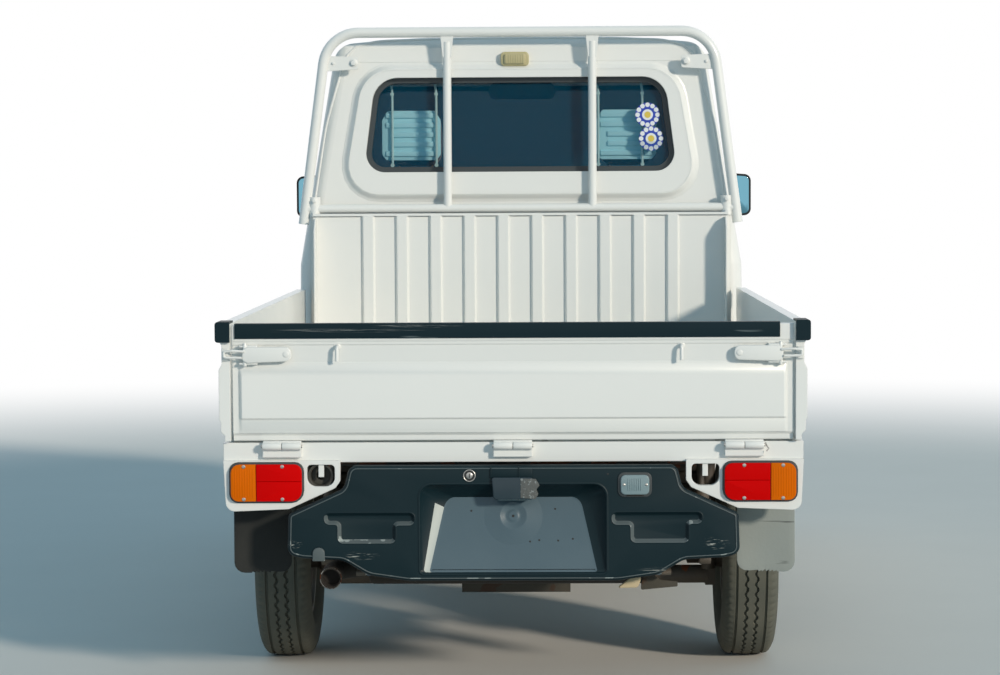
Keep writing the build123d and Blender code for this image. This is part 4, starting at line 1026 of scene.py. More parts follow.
@dataclass
class Tailgate:
    """Tailgate: pressed skin, rubber on its top rail, latches, rope hooks and hinge barrels."""

    inner_y: float = -1597.0
    half_width: float = 665.0
    face_out: float = 20.0
    bulge_out: float = 27.5
    bulge_half: float = 651.0
    hinge_axis: Pair = (-1627.0, 633.0)
    hinge_radius: float = 9.0
    hinge_half: float = 46.0
    hinges_x: tuple[float, ...] = (-549.0, 0.0, 549.0)
    hooks_x: tuple[float, ...] = (-415.0, 400.0)
    rubber_x: Pair = (-659.0, 633.0)
    body: str = "tailgate"

    def build(self) -> None:
        """Makes all the tailgate's pieces."""
        self.skin()
        self.rubber()
        for name, side in (("right", 1), ("left", -1)):
            self.latch(name, side)
        self.hooks()
        self.hinges()

    def skin(self) -> None:
        """Panel with its rail, the soft bulge of its face and the folds under it."""
        shape = Shape()
        base = (
            (0, 645), (14, 645), (14, 658), (20, 664), (20, 873), (22, 875), (22, 881), (24, 884),
            (24, 921), (0, 921),
        )
        rounding = (1.5, 2.5, 2.5, 2.5, 1.0, 1.0, 1.0, 2.5, 2.5, 1.5)
        ring = [(self.inner_y - out, z) for out, z in base]
        shape.prism(Facing.SIDE, ring, (-self.half_width, self.half_width), rounding)
        bulge = (
            (18, 664), (self.face_out + 0.2, 664), (23.5, 674), (23.5, 696), (self.bulge_out, 700),
            (self.bulge_out, 800), (self.bulge_out - 1.5, 812), (self.face_out + 2, 824),
            (self.face_out, 832), (18, 832),
        )
        stations = (
            (-self.bulge_half, 0.02), (-self.bulge_half + 3, 0.55), (-self.bulge_half + 8, 1.0),
            (self.bulge_half - 8, 1.0), (self.bulge_half - 3, 0.55), (self.bulge_half, 0.02),
        )
        rings = []
        for x, height in stations:
            ring = []
            for out, z in bulge:
                eased = min(out, self.face_out - 1) + max(out - self.face_out + 1, 0) * height
                ring.append((x, self.inner_y - eased, z))
            rings.append(ring)
        shape.bridge(rings)
        shape.piece("tailgate_skin", self.body, PAINT, "tailgate", angle=24.0)

    def rubber(self) -> None:
        """Rubber strip over the top rail, short at its right end."""
        shape = Shape()
        near, far = self.inner_y - 24, self.inner_y - self.bulge_out
        section = (
            (near, 889), (far, 889), (far, 925), (self.inner_y, 925), (self.inner_y, 921), (near, 921),
        )
        shape.prism(Facing.SIDE, section, self.rubber_x, (0.8, 1.6, 3.0, 1.2, 0.8, 0.8))
        shape.piece("tailgate_rubber_strip", self.body, RUBBER, "tailgate_rubber")

    def latch(self, name: str, side: int) -> None:
        """Flat lever with its dimple, the bracket, the ring and the link that hooks the side gate."""
        y = self.inner_y
        shape = Shape()
        lever = [(524, 836), (628, 832), (640, 838), (640, 864), (628, 870), (524, 870)]
        shape.prism(Facing.REAR, lever, (y - 30, y - 41), (14, 6, 8, 8, 6, 14), rim=2.5)
        shape.prism(Facing.REAR, [(560, 842), (640, 838), (640, 864), (560, 864)], (y - 19, y - 34), 3.0)
        for z in (828, 869):
            shape.block((604, y - 37, z), (648, y - 19, z + 5), rim=1.5)
        shape.rod((634, y - 34, 824), (634, y - 34, 879), 4.5, rim=1.0)
        shape.lathe(
            (536, y - 41, 853), REARWARD, ((-2, 0.2), (1.2, 0.2), (1.6, 3.5), (0.6, 6.5), (-2, 7.0)),
            steps=20,
        )
        hook = ((634, 40, 860), (662, 45, 862), (683, 42, 860), (683, 42, 846), (640, 42, 845))
        shape.pipe([(x, y - out, z) for x, out, z in hook], 3.2)
        if side < 0:
            shape.flipped()
        shape.piece("tailgate_latch_" + name, self.body, PAINT)

    def hooks(self) -> None:
        """Rope hooks of bent rod below the rail."""
        shape = Shape()
        for x in self.hooks_x:
            bend = [(x, self.inner_y - out, z) for out, z in ((16, 870), (38, 870), (40, 836))]
            shape.pipe(bend, 4.5, bend=0.7)
            shape.lathe(
                (x, self.inner_y - 20, 870), REARWARD,
                ((-1, 0.5), (-1, 9.0), (0.6, 9.0), (1.6, 7.0), (1.6, 0.5)), steps=24,
            )
        shape.piece("rope_hooks", self.body, PAINT)

    def hinges(self) -> None:
        """Three barrels, each rolled in two halves round a pin, and the strap above each."""
        shape, pins = Shape(), Shape()
        y, z = self.hinge_axis
        for x in self.hinges_x:
            for start, end in ((-self.hinge_half, -0.8), (0.8, self.hinge_half)):
                shape.rod((x + start, y, z), (x + end, y, z), self.hinge_radius, rim=1.2, sides=32)
            shape.block((x - self.hinge_half, -1620, z), (x + self.hinge_half, -1609, 645), rim=2.0)
            pins.rod((x - self.hinge_half - 3, y, z), (x + self.hinge_half + 3, y, z), 4.2, rim=0.8)
        shape.piece("hinge_barrels", self.body, PAINT)
        right = self.hinges_x[-1] + self.hinge_half + 3
        split = ((0, -8, 6), (2, 0, 0), (9, 2, -9), (3, -4, -14))
        pins.pipe([(right + dx, y + dy, z + dz) for dx, dy, dz in split], 1.6)
        pins.piece("hinge_pins", self.body, STEEL)


@dataclass
class RearLamps:
    """Tail lamps on the body's corners: gasket, red lens in two halves, amber lens and four screws."""

    front_y: float = -1618.0
    rear_y: float = -1632.0
    low: float = 502.0
    high: float = 590.0
    middle: float = 549.0
    inner_x: float = 502.0
    split_x: float = 610.0
    outer_x: float = 671.0
    screws: tuple[Pair, ...] = ((548, 585), (640, 585), (548, 507), (640, 507))

    def build(self) -> None:
        """Makes both lamps."""
        gasket, red, amber, screws = Shape(), Shape(), Shape(), Shape()
        rim = [(497, 595), (497, 497), (676, 497), (676, 595)]
        gasket.prism(Facing.REAR, rim, (self.front_y + 1, self.front_y - 4), (22, 30, 22, 22), rim=1.5)
        deep, out = self.front_y + 1, self.rear_y
        inner, split, seam = self.inner_x, self.split_x, self.middle + 0.8
        lower = [(inner, self.middle), (inner, self.low), (split, self.low), (split, self.middle)]
        upper = [(inner, self.high), (inner, seam), (split, seam), (split, self.high)]
        red.prism(Facing.REAR, lower, (deep, out + 1.2), (1, 24, 1, 1), rim=2.5)
        red.prism(Facing.REAR, upper, (deep, out), (18, 1, 1, 1), rim=2.5)
        start, end = self.split_x + 1.6, self.outer_x
        outer = [(start, self.high), (start, self.low), (end, self.low), (end, self.high)]
        amber.prism(Facing.REAR, outer, (deep, out), (1, 1, 18, 20), rim=2.5)
        for k in range(9):
            x = 617 + 6 * k
            amber.block((x, out - 0.5, self.low + 9), (x + 2.4, out + 2, self.high - 9), rim=0.8)
        for x, z in self.screws:
            screws.lathe(
                (x, out, z), REARWARD, ((-3, 0.3), (-3, 4.4), (0.4, 4.4), (1.6, 3.0), (1.8, 0.3)),
                steps=16,
            )
            screws.block((x - 3.2, out - 2.4, z - 0.6), (x + 3.2, out - 1.2, z + 0.6))
        for shape, name, finish, nodes in (
            (gasket, "lamp_gaskets", SEAL, ()), (red, "red_lenses", RED_LENS, ("tail_lamps_red",)),
            (amber, "amber_lenses", AMBER_LENS, ("tail_lamps_amber",)), (screws, "lamp_screws", STEEL, ()),
        ):
            shape.mirrored().piece(name, "root", finish, *nodes)


@dataclass
class RearCorners:
    """Small pieces on the rear sill: the cup in the left slot and the mud flaps' bolts."""

    slot_x: float = 457.0
    slot_z: float = 560.0
    panel_y: float = -1618.0

    def build(self) -> None:
        """Makes the cup ring and the bolts of the mud flaps."""
        cup = Shape()
        cup.lathe(
            (-self.slot_x - 2, self.panel_y + 26, self.slot_z), REARWARD,
            ((-10, 27), (14, 30), (17, 30), (17, 27), (14, 24), (-8, 22), (-8, 12), (-10, 12)), steps=40,
        )
        cup.piece("slot_cup", "root", CAST_AND_PAINTED_SHADE)
        bolts = Shape()
        for x, z in ((652, 572), (660, 540), (560, 478), (640, 478)):
            bolts.rod((x, -1519, z), (x, -1524, z), 6.5, sides=6, rim=0.8)
            bolts.rod((x, -1519, z), (x, -1520.5, z), 9.0, sides=20)
        bolts.mirrored().piece("flap_bolts", "root", STEEL)


# Engine lid


@dataclass
class EngineLid:
    """Moulded engine lid: rounded rim, sunk plate space with its dimple, pressed bands, lock and lamps.

    Attributes:
        corners: X, Z and radius of the right half's corners.
        mouth: Half width, low and high end of the plate space's opening.
        floor_low: Half width and height of the floor's foot.
        floor_high: Half width and height of the floor's head.
        floor_depths: Depth of the floor at its foot and head.
        wall_bend: Shares at which the walls bend: across at the foot, across at the head, and in depth.
        band_steps: Width and depth of each step that presses a band in.
    """

    rear_y: float = -1636.0
    depth: float = 34.0
    wall: float = 4.0
    rim: float = 9.0
    corners: tuple[Point, ...] = (
        (388, 588, 22), (402, 533, 24), (535, 472, 14), (538, 374, 22), (500, 365, 40), (405, 360, 40),
        (345, 324, 60), (250, 310, 120),
    )
    mouth: Point = (226.0, 324.0, 546.0)
    mouth_radii: tuple[float, ...] = (14, 14, 34, 34)
    mouth_rim: float = 6.0
    mouth_edge: float = 7.0
    floor_low: Pair = (200.0, 331.0)
    floor_high: Pair = (160.0, 506.0)
    floor_depths: Pair = (9.0, 46.0)
    wall_bend: Point = (0.3, 0.65, 0.74)
    band: tuple[Pair, ...] = (
        (232, 443), (232, 477), (451, 477), (451, 445), (419, 445), (419, 400), (277, 400), (277, 443),
    )
    band_radii: tuple[float, ...] = (15, 15, 15, 15, 5, 15, 15, 5)
    band_steps: tuple[Pair, ...] = ((1.6, -0.5), (1.4, -1.5), (5.5, -6.5), (1.4, -1.5), (1.6, -0.5))
    lock: Pair = (-103.0, 563.0)
    dimple: Pair = (0.0, 462.0)
    holes: tuple[Pair, ...] = (
        (-100, 474), (100, 478), (40, 402), (62, 405), (107, 404), (142, 408), (-4, 462), (225, 566),
    )
    inner_finishes: tuple[Finish, ...] = (LID_FLOOR_PAINTED_SKY, LID_PAINTED_HIGHLIGHT, PALE_PLASTIC_AND_HIGHLIGHT)
    highlight_top: float = 460.0
    body: str = "engine_lid"

    def build(self) -> None:
        """Makes the lid's pieces."""
        self.shell()
        self.tab()
        self.floor_fittings()
        self.edge_line()
        self.lock_and_pins()
        self.small_holes()
        self.plate_lamp()
        self.reversing_lamp()

    def slot_of(self, finish: Finish) -> int:
        """Material slot of the shell that holds one of its inner finishes."""
        return 1 + self.inner_finishes.index(finish)

    def outline(self, part: Mesh, y: float) -> Face:
        """Adds a face of the whole lid's outline."""
        rows = [*self.corners, *((-x, z, radius) for x, z, radius in reversed(self.corners))]
        return rear_face(part, [(x, z) for x, z, _ in rows], [radius for _, _, radius in rows], y)

    def shell(self) -> None:
        """Moulded shell, open to the front."""
        part = bmesh.new()
        outer = self.outline(part, self.rear_y + self.rim)
        base_edges = list(outer.edges)
        inset_rounded(part, outer, self.rim, 1)
        openings = list(outer.edges)
        bmesh.ops.delete(part, geom=[outer], context="FACES_ONLY")
        half, low, high = self.mouth
        mouth = rear_face(part, rectangle(-half, low, half, high), self.mouth_radii, self.rear_y)
        openings += list(mouth.edges)
        inset_rounded(part, mouth, self.mouth_rim, -1)
        self.sink(part, mouth)
        for side in (1, -1):
            openings += self.press_band(part, side)
        bmesh.ops.triangle_fill(
            part, edges=openings, use_beauty=True, use_dissolve=False, normal=REARWARD,
        )
        raised = bmesh.ops.extrude_edge_only(part, edges=base_edges)
        verts = [item for item in raised["geom"] if isinstance(item, bmesh.types.BMVert)]
        bmesh.ops.translate(part, vec=(0, (self.depth - self.rim) * MM, 0), verts=verts)
        bmesh.ops.remove_doubles(part, verts=part.verts[:], dist=WELD)
        piece = Shape().absorb(part).piece("lid_shell", self.body, LID_PLASTIC, "engine_lid", angle=40.0)
        for finish in self.inner_finishes:
            piece.data.materials.append(finish.material())
        thick = piece.modifiers.new("wall", "SOLIDIFY")
        thick.thickness = self.wall * MM
        thick.offset = -1.0

    def press_band(self, part: Mesh, side: int) -> list[bmesh.types.BMEdge]:
        """Presses the stepped band of one side in; its walls that face up or right get a pale painted
        highlight.

        Args:
            part: The shell.
            side: 1 for the right, -1 for the left.

        Returns:
            Edges of the band's mouth.
        """
        band = rear_face(part, [(side * x, z) for x, z in self.band], self.band_radii, self.rear_y)
        mouth = list(band.edges)
        flat = set(part.faces)
        for width, depth in self.band_steps:
            inset(part, band, width, depth)
        # Walls that face up or right, towards the sun, take the pale plastic as a painted highlight.
        for wall in set(part.faces) - flat:
            wall.normal_update()
            if wall.normal.z > 0.35 or wall.normal.x > 0.6:
                wall.material_index = self.slot_of(PALE_PLASTIC_AND_HIGHLIGHT)
        return mouth

    def sink(self, part: Mesh, face: Face) -> None:
        """Carries the plate space's last ring down its walls to the tilted floor, in a soft bend."""
        inset(part, face, 1.0)
        half, low, high = self.mouth
        (foot, floor_z), (head, top_z) = self.floor_low, self.floor_high
        start, end, along = self.wall_bend
        edge = self.mouth_edge
        aims = []
        for vert in face.verts:
            x, z = vert.co.x / MM, vert.co.z / MM
            share = min(max((z - low - edge) / (high - low - 2 * edge), 0.0), 1.0)
            width = foot + (head - foot) * share
            height = floor_z + (top_z - floor_z) * share
            aim = Vector((x * width / (half - edge), self.floor_at(share), height)) * MM
            bend = vert.co.lerp(aim, start + (end - start) * share)
            bend.y = vert.co.y + (aim.y - vert.co.y) * along
            vert.co = bend
            aims.append((bend.copy(), aim))
        walls = set(part.faces)
        inset(part, face, 0.5)
        for vert in face.verts:
            vert.co = min(aims, key=lambda pair: (pair[0] - vert.co).length)[1]
        face.normal_update()
        # Strips low on the left wall's foot take the pale plastic: a painted highlight.
        for strip in set(part.faces) - walls - {face}:
            middle = strip.calc_center_median()
            if middle.x < 0 and middle.z < self.highlight_top * MM and abs(strip.normal.z) < 0.5:
                strip.material_index = self.slot_of(LID_PAINTED_HIGHLIGHT)
        walls |= set(part.faces)
        # The floor takes the lighter plastic: a painted sky reflection.
        inset(part, face, 7.0)
        for flat in set(part.faces) - walls | {face}:
            flat.material_index = self.slot_of(LID_FLOOR_PAINTED_SKY)

    def floor_at(self, share: float) -> float:
        """Y of the plate space's floor at a share of the way from its foot to its head."""
        near, deep = self.floor_depths
        return self.rear_y + near + (deep - near) * share

    def floor_y(self, z: float) -> float:
        """Y of the plate space's floor at a height."""
        return self.floor_at((z - self.floor_low[1]) / (self.floor_high[1] - self.floor_low[1]))

    def tab(self) -> None:
        """Tab at the left end of the lid."""
        tab = Shape()
        span = (self.rear_y + 2, self.rear_y - 5)
        tab.prism(Facing.REAR, rectangle(-477, 360, -448, 392), span, (2, 2, 13, 13), rim=2.0)
        tab.piece("lid_tab", self.body, PALE_PLASTIC_AND_HIGHLIGHT)

    def floor_fittings(self) -> None:
        """Round dimple in the plate space's floor, and the ears that the lid hangs on."""
        near, deep = self.floor_depths
        tilt = Vector((0, -(self.floor_high[1] - self.floor_low[1]), deep - near)).normalized()
        x, z = self.dimple
        shape = Shape()
        section = (
            (-3, 0.3), (-3, 70), (0, 70), (4.2, 33.5), (4.5, 32), (4.2, 30.5), (0.4, 19), (0.1, 17),
            (1.8, 12.5), (2.5, 10), (2.4, 5), (1.8, 0.3),
        )
        shape.lathe((x, self.floor_y(z), z), tuple(tilt), section, steps=64)
        for side in (-1, 1):
            shape.block((side * 342 - 8, -1606, 320), (side * 342 + 8, -1594, 345), rim=1.5)
        # The dimple takes the floor's lighter plastic, a painted sky reflection.
        shape.piece("lid_fittings", self.body, LID_FLOOR_PAINTED_SKY)

    def edge_line(self) -> None:
        """Fine moulded bead along the lid's outline, just inside its rounded rim; its pale plastic is a
        painted highlight of the rim.
        """
        bead = bmesh.new()
        face = self.outline(bead, self.rear_y - 0.4)
        inset(bead, face, 8.0)
        inner = [tuple(vert.co / MM) for vert in face.verts]
        bead.free()
        Shape().pipe(inner + inner[:1], 1.3, smooth=False).piece("lid_edge_bead", self.body, PALE_PLASTIC_AND_HIGHLIGHT)

    def lock_and_pins(self) -> None:
        """Hinge pins at the foot, and the lock with its ring."""
        metal = Shape()
        for side in (-1, 1):
            metal.rod((side * 334, -1600, 326), (side * 376, -1600, 326), 5.0, rim=0.8)
        x, z = self.lock
        place = (x, self.rear_y, z)
        ring = ((-2, 12.6), (-2, 14.6), (2.0, 14.6), (2.6, 13.6), (2.0, 12.6))
        metal.lathe(place, REARWARD, ring, steps=40)
        metal.lathe(
            place, REARWARD, ((-3, 0.3), (-3, 8.2), (-0.2, 8.2), (0.8, 6.5), (0.8, 0.3)), steps=32,
        )
        metal.piece("lid_lock", self.body, STEEL)

    def small_holes(self) -> None:
        """Keyhole, the lock's dark gap, pinholes in floor and face, and the dimple's middle."""
        x, z = self.lock
        y = self.rear_y
        holes = Shape()
        holes.block((x - 1.2, y - 1.2, z - 5), (x + 1.2, y - 0.4, z + 5))
        holes.lathe((x, y, z), REARWARD, ((-2, 8.4), (-2, 12.4), (0.8, 12.4), (0.8, 8.4)), steps=40)
        for x, z in self.holes:
            y = self.floor_y(z) - 0.1 if z < self.floor_high[1] else self.rear_y
            holes.rod((x, y - 0.5, z), (x, y + 1.0, z), 2.4, sides=12)
        x, z = self.dimple
        y = self.floor_y(z)
        holes.rod((x, y - 3.2, z), (x, y - 2.2, z), 3.0, sides=16)
        holes.piece("lid_holes", self.body, TRIM_PLASTIC)

    def plate_lamp(self) -> None:
        """Plate lamp under its hood, whose right end is broken and worn pale."""
        hood = Shape()
        y = self.rear_y
        outline = [(-46, 506), (46, 506), (50, 526), (46, 559), (-51, 559)]
        hood.prism(Facing.REAR, outline, (y + 24, y - 8), (8, 4, 4, 4, 6), rim=3.0)
        hood.piece("plate_lamp_hood", self.body, GLOSS_PLASTIC, "lid_lamps")
        neck = Shape()
        neck.block((-55, y - 2, 557), (46, y + 4, 579), rim=2.0)
        for x in (-52, 14):
            neck.block((x - 1.5, y - 4, 557), (x + 1.5, y + 2, 584), rim=1.2)
        neck.piece("plate_lamp_neck", self.body, LID_PLASTIC)
        broken = Shape()
        ragged = [(18, 510), (53, 508), (60, 518), (55, 529), (63, 540), (54, 555), (18, 557)]
        broken.prism(Facing.REAR, ragged, (y + 22, y - 8.6), (1, 2, 1, 2, 1, 2, 1), rim=1.5)
        broken.piece("plate_lamp_end", self.body, WORN_PLASTIC)
        lens = Shape()
        lens.block((-36, y + 4, 503), (36, y + 18, 508), rim=2.0)
        lens.piece("plate_lamp_lens", self.body, CLEAR_LENS)

    def reversing_lamp(self) -> None:
        """Reversing lamp: gasket, fluted lens, two screws and rust along its foot."""
        y = self.rear_y
        gasket, lens, rust, screws = Shape(), Shape(), Shape(), Shape()
        gasket.prism(Facing.REAR, rectangle(249, 511, 329, 570), (y + 3, y - 3), 15.0, rim=1.5)
        lens.prism(Facing.REAR, rectangle(255, 517, 323, 564), (y, y - 9), 11.0, rim=3.0)
        for k in range(7):
            x = 272 + 5 * k
            lens.block((x, y - 10.2, 527), (x + 1.8, y - 8.5, 556), rim=0.6)
        strip = [(268, 514), (311, 514), (309, 519), (271, 519)]
        rust.prism(Facing.REAR, strip, (y - 2, y - 6), 1.5, rim=0.8)
        for x in (263, 316):
            screws.lathe(
                (x, y - 8.5, 541), REARWARD, ((-2, 0.3), (-2, 3.4), (1, 3.4), (1.8, 2.2), (2, 0.3)),
                steps=16,
            )
        gasket.piece("reversing_gasket", self.body, SEAL)
        lens.piece("reversing_lens", self.body, CLEAR_LENS)
        rust.piece("reversing_rust", self.body, RUST_AND_PAINTED_SHADE)
        screws.piece("reversing_screws", self.body, STEEL)


# Wheels


@dataclass
class Wheel:
    """One wheel: treaded tyre, wheel nuts, cap and valve."""

    corner: str
    center: Point
    side: int
    body: str
    radius: float = 268.0
    groove: float = 7.0
    steps: int = 240
    nut_circle: float = 50.0
    zigzag: tuple[int, ...] = (1, 1, -1, -1)
    zigzag_reach: float = 2.6
    notch: float = 3.5

    def build(self) -> None:
        """Makes the tyre and the small pieces."""
        self.tyre()
        self.nuts()

    def profile(self) -> list[Pair]:
        """Section of the tyre as (along the axle, radius), from one bead round the tread to the other."""
        crown = self.radius
        half = [
            (50, 155), (50, 166), (56, 172), (64, 182), (70, 196), (72.5, 212), (72, 226), (69.5, 240),
            (64, 252), (59, 259.5), (53, 264.5), (48, crown - 2.2), (42, crown - 1.6),
            (40, crown - self.groove), (36, crown - self.groove), (34, crown - 1.0), (17, crown - 0.5),
            (15, crown - self.groove), (11, crown - self.groove), (9, crown),
        ]
        return half + [(-along, radius) for along, radius in reversed(half)]

    def tyre(self) -> None:
        """Spins the section, bends the middle grooves from side to side and notches the shoulders."""
        part = spun(self.profile(), self.steps)
        for vert in part.verts:
            away = math.hypot(vert.co.x, vert.co.y) / MM
            turn = round(math.atan2(vert.co.y, vert.co.x) / (2 * math.pi) * self.steps)
            along = abs(vert.co.z) / MM
            if away > self.radius - self.groove - 1 and along < 20:
                vert.co.z += self.zigzag_reach * MM * self.zigzag[turn % 4]
            elif along > 46 and away > 250 and turn % 3 == 0:
                vert.co.x *= 1 - self.notch / away
                vert.co.y *= 1 - self.notch / away
        set_down(part, Vector(self.center) * MM, Vector((1, 0, 0)))
        shape = Shape().absorb(part)
        node = "tyre_" + self.corner
        shape.piece(node + "_tread", self.body, TYRE_RUBBER, node, angle=28.0)

    def nuts(self) -> None:
        """Four nuts, the hub cap's rim and the valve, on the outer side."""
        x, y, z = self.center
        out = self.side
        shape = Shape()
        for k in range(4):
            angle = math.radians(45 + 90 * k)
            spot = (y + self.nut_circle * math.cos(angle), z + self.nut_circle * math.sin(angle))
            shape.rod((x + out * 36, *spot), (x + out * 52, *spot), 10.0, 8.5, sides=6, rim=1.0)
            shape.rod((x + out * 50, *spot), (x + out * 58, *spot), 5.0, sides=12, rim=0.8)
        shape.rod((x + out * 60, y, z), (x + out * 66, y, z), 22.0, 19.0, sides=32, rim=1.5)
        shape.rod((x + out * 36, y, z + 138), (x + out * 56, y, z + 134), 4.0, sides=12, rim=0.8)
        shape.piece("wheel_nuts_" + self.corner, self.body, STEEL)


def wheels() -> list[Wheel]:
    """The four wheels, placed from their packed tyres."""
    made = []
    for corner in ("front_right", "front_left", "rear_right", "rear_left"):
        low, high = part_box("tyre_" + corner)
        center = tuple(value / MM for value in (low + high) / 2)
        made.append(Wheel(corner, center, 1 if center[0] > 0 else -1, "wheel_" + corner))
    return made


# Cab's rear

REAR_WALL_Y = 356.0


@dataclass
class CabRear:
    """Pieces on and behind the cab's rear wall: lamp, bars, seat shells, decals, bolts, bead, pad edge."""

    bar_xs: tuple[float, ...] = (-401.0, -263.0, 245.0, 383.0)
    bar_z: Pair = (1306.0, 1562.0)
    bar_y: float = 397.0
    shell_xs: tuple[Pair, ...] = ((-435.0, -250.0), (239.0, 427.0))
    shell_z: Pair = (1325.0, 1481.0)
    decals: tuple[Pair, ...] = ((398.0, 1463.0), (409.0, 1389.0))
    decal_y: float = 362.0
    petals: int = 12
    petal_circle: float = 31.0
    bed_lamp_place: Pair = (-15.0, 1638.0)
    pad_foot: Pair = (570.0, 1204.0)
    pad_head: Pair = (497.0, 1622.0)
    pad_radii: tuple[float, ...] = (110.0, 110.0, 120.0, 120.0)
    pad_spread: Pair = (1.19, 0.84)
    pad_proud: float = 0.3
    pad_slope: tuple[Pair, ...] = (
        (-18.0, 0.0), (-15.0, 0.03), (-11.5, 0.16), (-8.0, 0.38), (-4.0, 0.62), (0.0, 0.84), (4.0, 0.96),
        (8.0, 1.0),
    )
    bead: tuple[Pair, ...] = (
        (648, 1165), (643, 1200), (626, 1310), (607, 1430), (582, 1520), (558, 1600), (540, 1650),
        (508, 1681), (440, 1696), (300, 1701), (120, 1703), (0, 1703),
    )

    def build(self) -> None:
        """Makes all of them."""
        self.bed_lamp()
        self.glass_bars()
        self.seat_shells()
        self.round_decals()
        self.guard_bolts()
        self.corner_bead()
        self.pad_edge()

    def bed_lamp(self) -> None:
        """Lamp over the rear window with its ribbed lens."""
        body, lens = Shape(), Shape()
        x, z = self.bed_lamp_place
        body.prism(Facing.REAR, rectangle(x - 44, z - 22, x + 44, z + 22), (356, 334), 12.0, rim=3.0)
        lens.prism(Facing.REAR, rectangle(x - 33, z - 16, x + 33, z + 16), (336, 327), 7.0, rim=3.0)
        body.piece("bed_lamp_body", "root", LAMP_BEIGE)
        for k in range(8):
            left = x - 27 + 7.4 * k
            lens.block((left, 325.8, z - 13), (left + 2.4, 328, z + 13), rim=0.7)
        lens.piece("bed_lamp_lens", "root", LAMP_BEIGE)

    def glass_bars(self) -> None:
        """Four bars inside the rear window, bent in at the top."""
        shape = Shape()
        low, high = self.bar_z
        for x in self.bar_xs:
            shape.pipe(
                ((x, self.bar_y, low), (x, self.bar_y, high - 24), (x - 4, self.bar_y + 10, high)), 3.8,
            )
            for z in (low + 4, high - 30):
                shape.rod((x, self.bar_y, z), (x, self.bar_y - 8, z), 6.0, sides=16)
        shape.piece("window_bars", "root", BAR_PAINT)

    def seat_shells(self) -> None:
        """Ribbed plastic backs of the head rests."""
        shape = Shape()
        low, high = self.shell_z
        for left, right in self.shell_xs:
            outline = [
                (left, low + 18), (left + 14, low), (right - 14, low), (right, low + 18),
                (right, high - 30), (right - 18, high), (left + 18, high), (left, high - 30),
            ]
            shape.prism(Facing.REAR, outline, (414, 408), 10.0, rim=2.0)
            for k in range(5):
                z = low + 12 + 30 * k
                edge = 34 if k in (1, 2) else 12
                shape.block((left + edge, 402.5, z), (right - 12, 410, z + 17), rim=3.0)
        shape.piece("seat_shells", "root", SHELL_PLASTIC)

    def round_decals(self) -> None:
        """Two plain round decals on the glass: pale petals round a yellow middle on blue."""
        blue, white, yellow = Shape(), Shape(), Shape()
        y = self.decal_y
        for x, z in self.decals:
            blue.rod((x, y + 0.4, z), (x, y - 0.2, z), 38, sides=48)
            for k in range(self.petals):
                angle = 2 * math.pi * k / self.petals
                px, pz = x + self.petal_circle * math.cos(angle), z + self.petal_circle * math.sin(angle)
                white.rod((px, y, pz), (px, y - 0.6, pz), 7.2, sides=16)
            white.rod((x, y, z), (x, y - 0.6, z), 17, sides=32)
            yellow.rod((x, y, z), (x, y - 1.0, z), 10, sides=24)
        for shape, name, finish in (
            (blue, "decal_discs", PLAIN_BLUE), (white, "decal_petals", PLAIN_WHITE),
            (yellow, "decal_middles", PLAIN_YELLOW),
        ):
            shape.piece(name, "root", finish)

    def guard_bolts(self) -> None:
        """Bolts of the guard's brackets and feet."""
        shape = Shape()
        shape.lathe(
            (515, 309, 1627), REARWARD, ((-1, 0.5), (-1, 13), (1.5, 13), (2.5, 9.5), (8, 8), (9, 0.5)),
            steps=24,
        )
        shape.rod((578, 309, 1626), (578, 305, 1626), 5.0, sides=6, rim=0.8)
        for z in (1162, 1200):
            shape.rod((640, 296, z), (640, 288, z), 7.0, sides=6, rim=1.0)
        shape.mirrored().piece("guard_bolts", "root", PAINT)

    def corner_bead(self) -> None:
        """Rounded seam along the cab's rear corners and the roof's rear edge."""
        shape = Shape()
        right = [(x, skin_depth(x, z), z) for x, z in self.bead]
        left = [(-x, y, z) for x, y, z in reversed(right[:-1])]
        shape.pipe(right + left, 4.5)
        shape.piece("cab_corner_bead", "root", PAINT)

    def pad_edge(self) -> None:
        """Soft slope from the raised pad round the window down to the wall."""
        rings = []
        for out, _ in self.pad_slope:
            foot = self.pad_foot[0] + self.pad_spread[0] * out
            head = self.pad_head[0] + self.pad_spread[1] * out
            low, high = self.pad_foot[1] - out, self.pad_head[1] + out
            corners = symmetric(0, (foot, low), (head, high))
            ring = bmesh.new()
            face = rear_face(ring, corners, [radius + out for radius in self.pad_radii], 0)
            rings.append([vert.co.copy() / MM for vert in face.verts])
            ring.free()
        pad = [skin_depth(spot.x, spot.z) for spot in rings[0]]
        wall = [skin_depth(spot.x, spot.z) for spot in rings[-1]]
        rows = [
            [near + (far - near) * share - self.pad_proud for near, far in zip(pad, wall)]
            for _, share in self.pad_slope
        ]
        behind = [y + 3 for y in wall]
        part = bmesh.new()
        loops = [
            [part.verts.new(Vector((spot.x, y, spot.z)) * MM) for spot, y in zip(ring, row)]
            for ring, row in zip([*rings, rings[-1], rings[0]], [*rows, behind, behind])
        ]
        for first, second in zip(loops, loops[1:] + loops[:1]):
            for k in range(len(first)):
                part.faces.new((first[k - 1], first[k], second[k], second[k - 1]))
        Shape().absorb(part).piece("cab_pad_edge", "root", PAINT, angle=60.0)


def skin_depth(x: float, z: float) -> float:
    """Y in millimetres at which the cab's skin is met from behind, or that of the rear wall."""
    start = Vector((x, 0.0, z)) * MM
    hits = []
    for name in ("cab_rear_wall", "cab_roof", "cab_side_right", "cab_side_left"):
        found, spot, _, _ = bpy.data.objects[name].ray_cast(start, Vector((0.0, 1.0, 0.0)))
        if found:
            hits.append(spot.y / MM)
    return min(hits, default=REAR_WALL_Y)


# Flaps


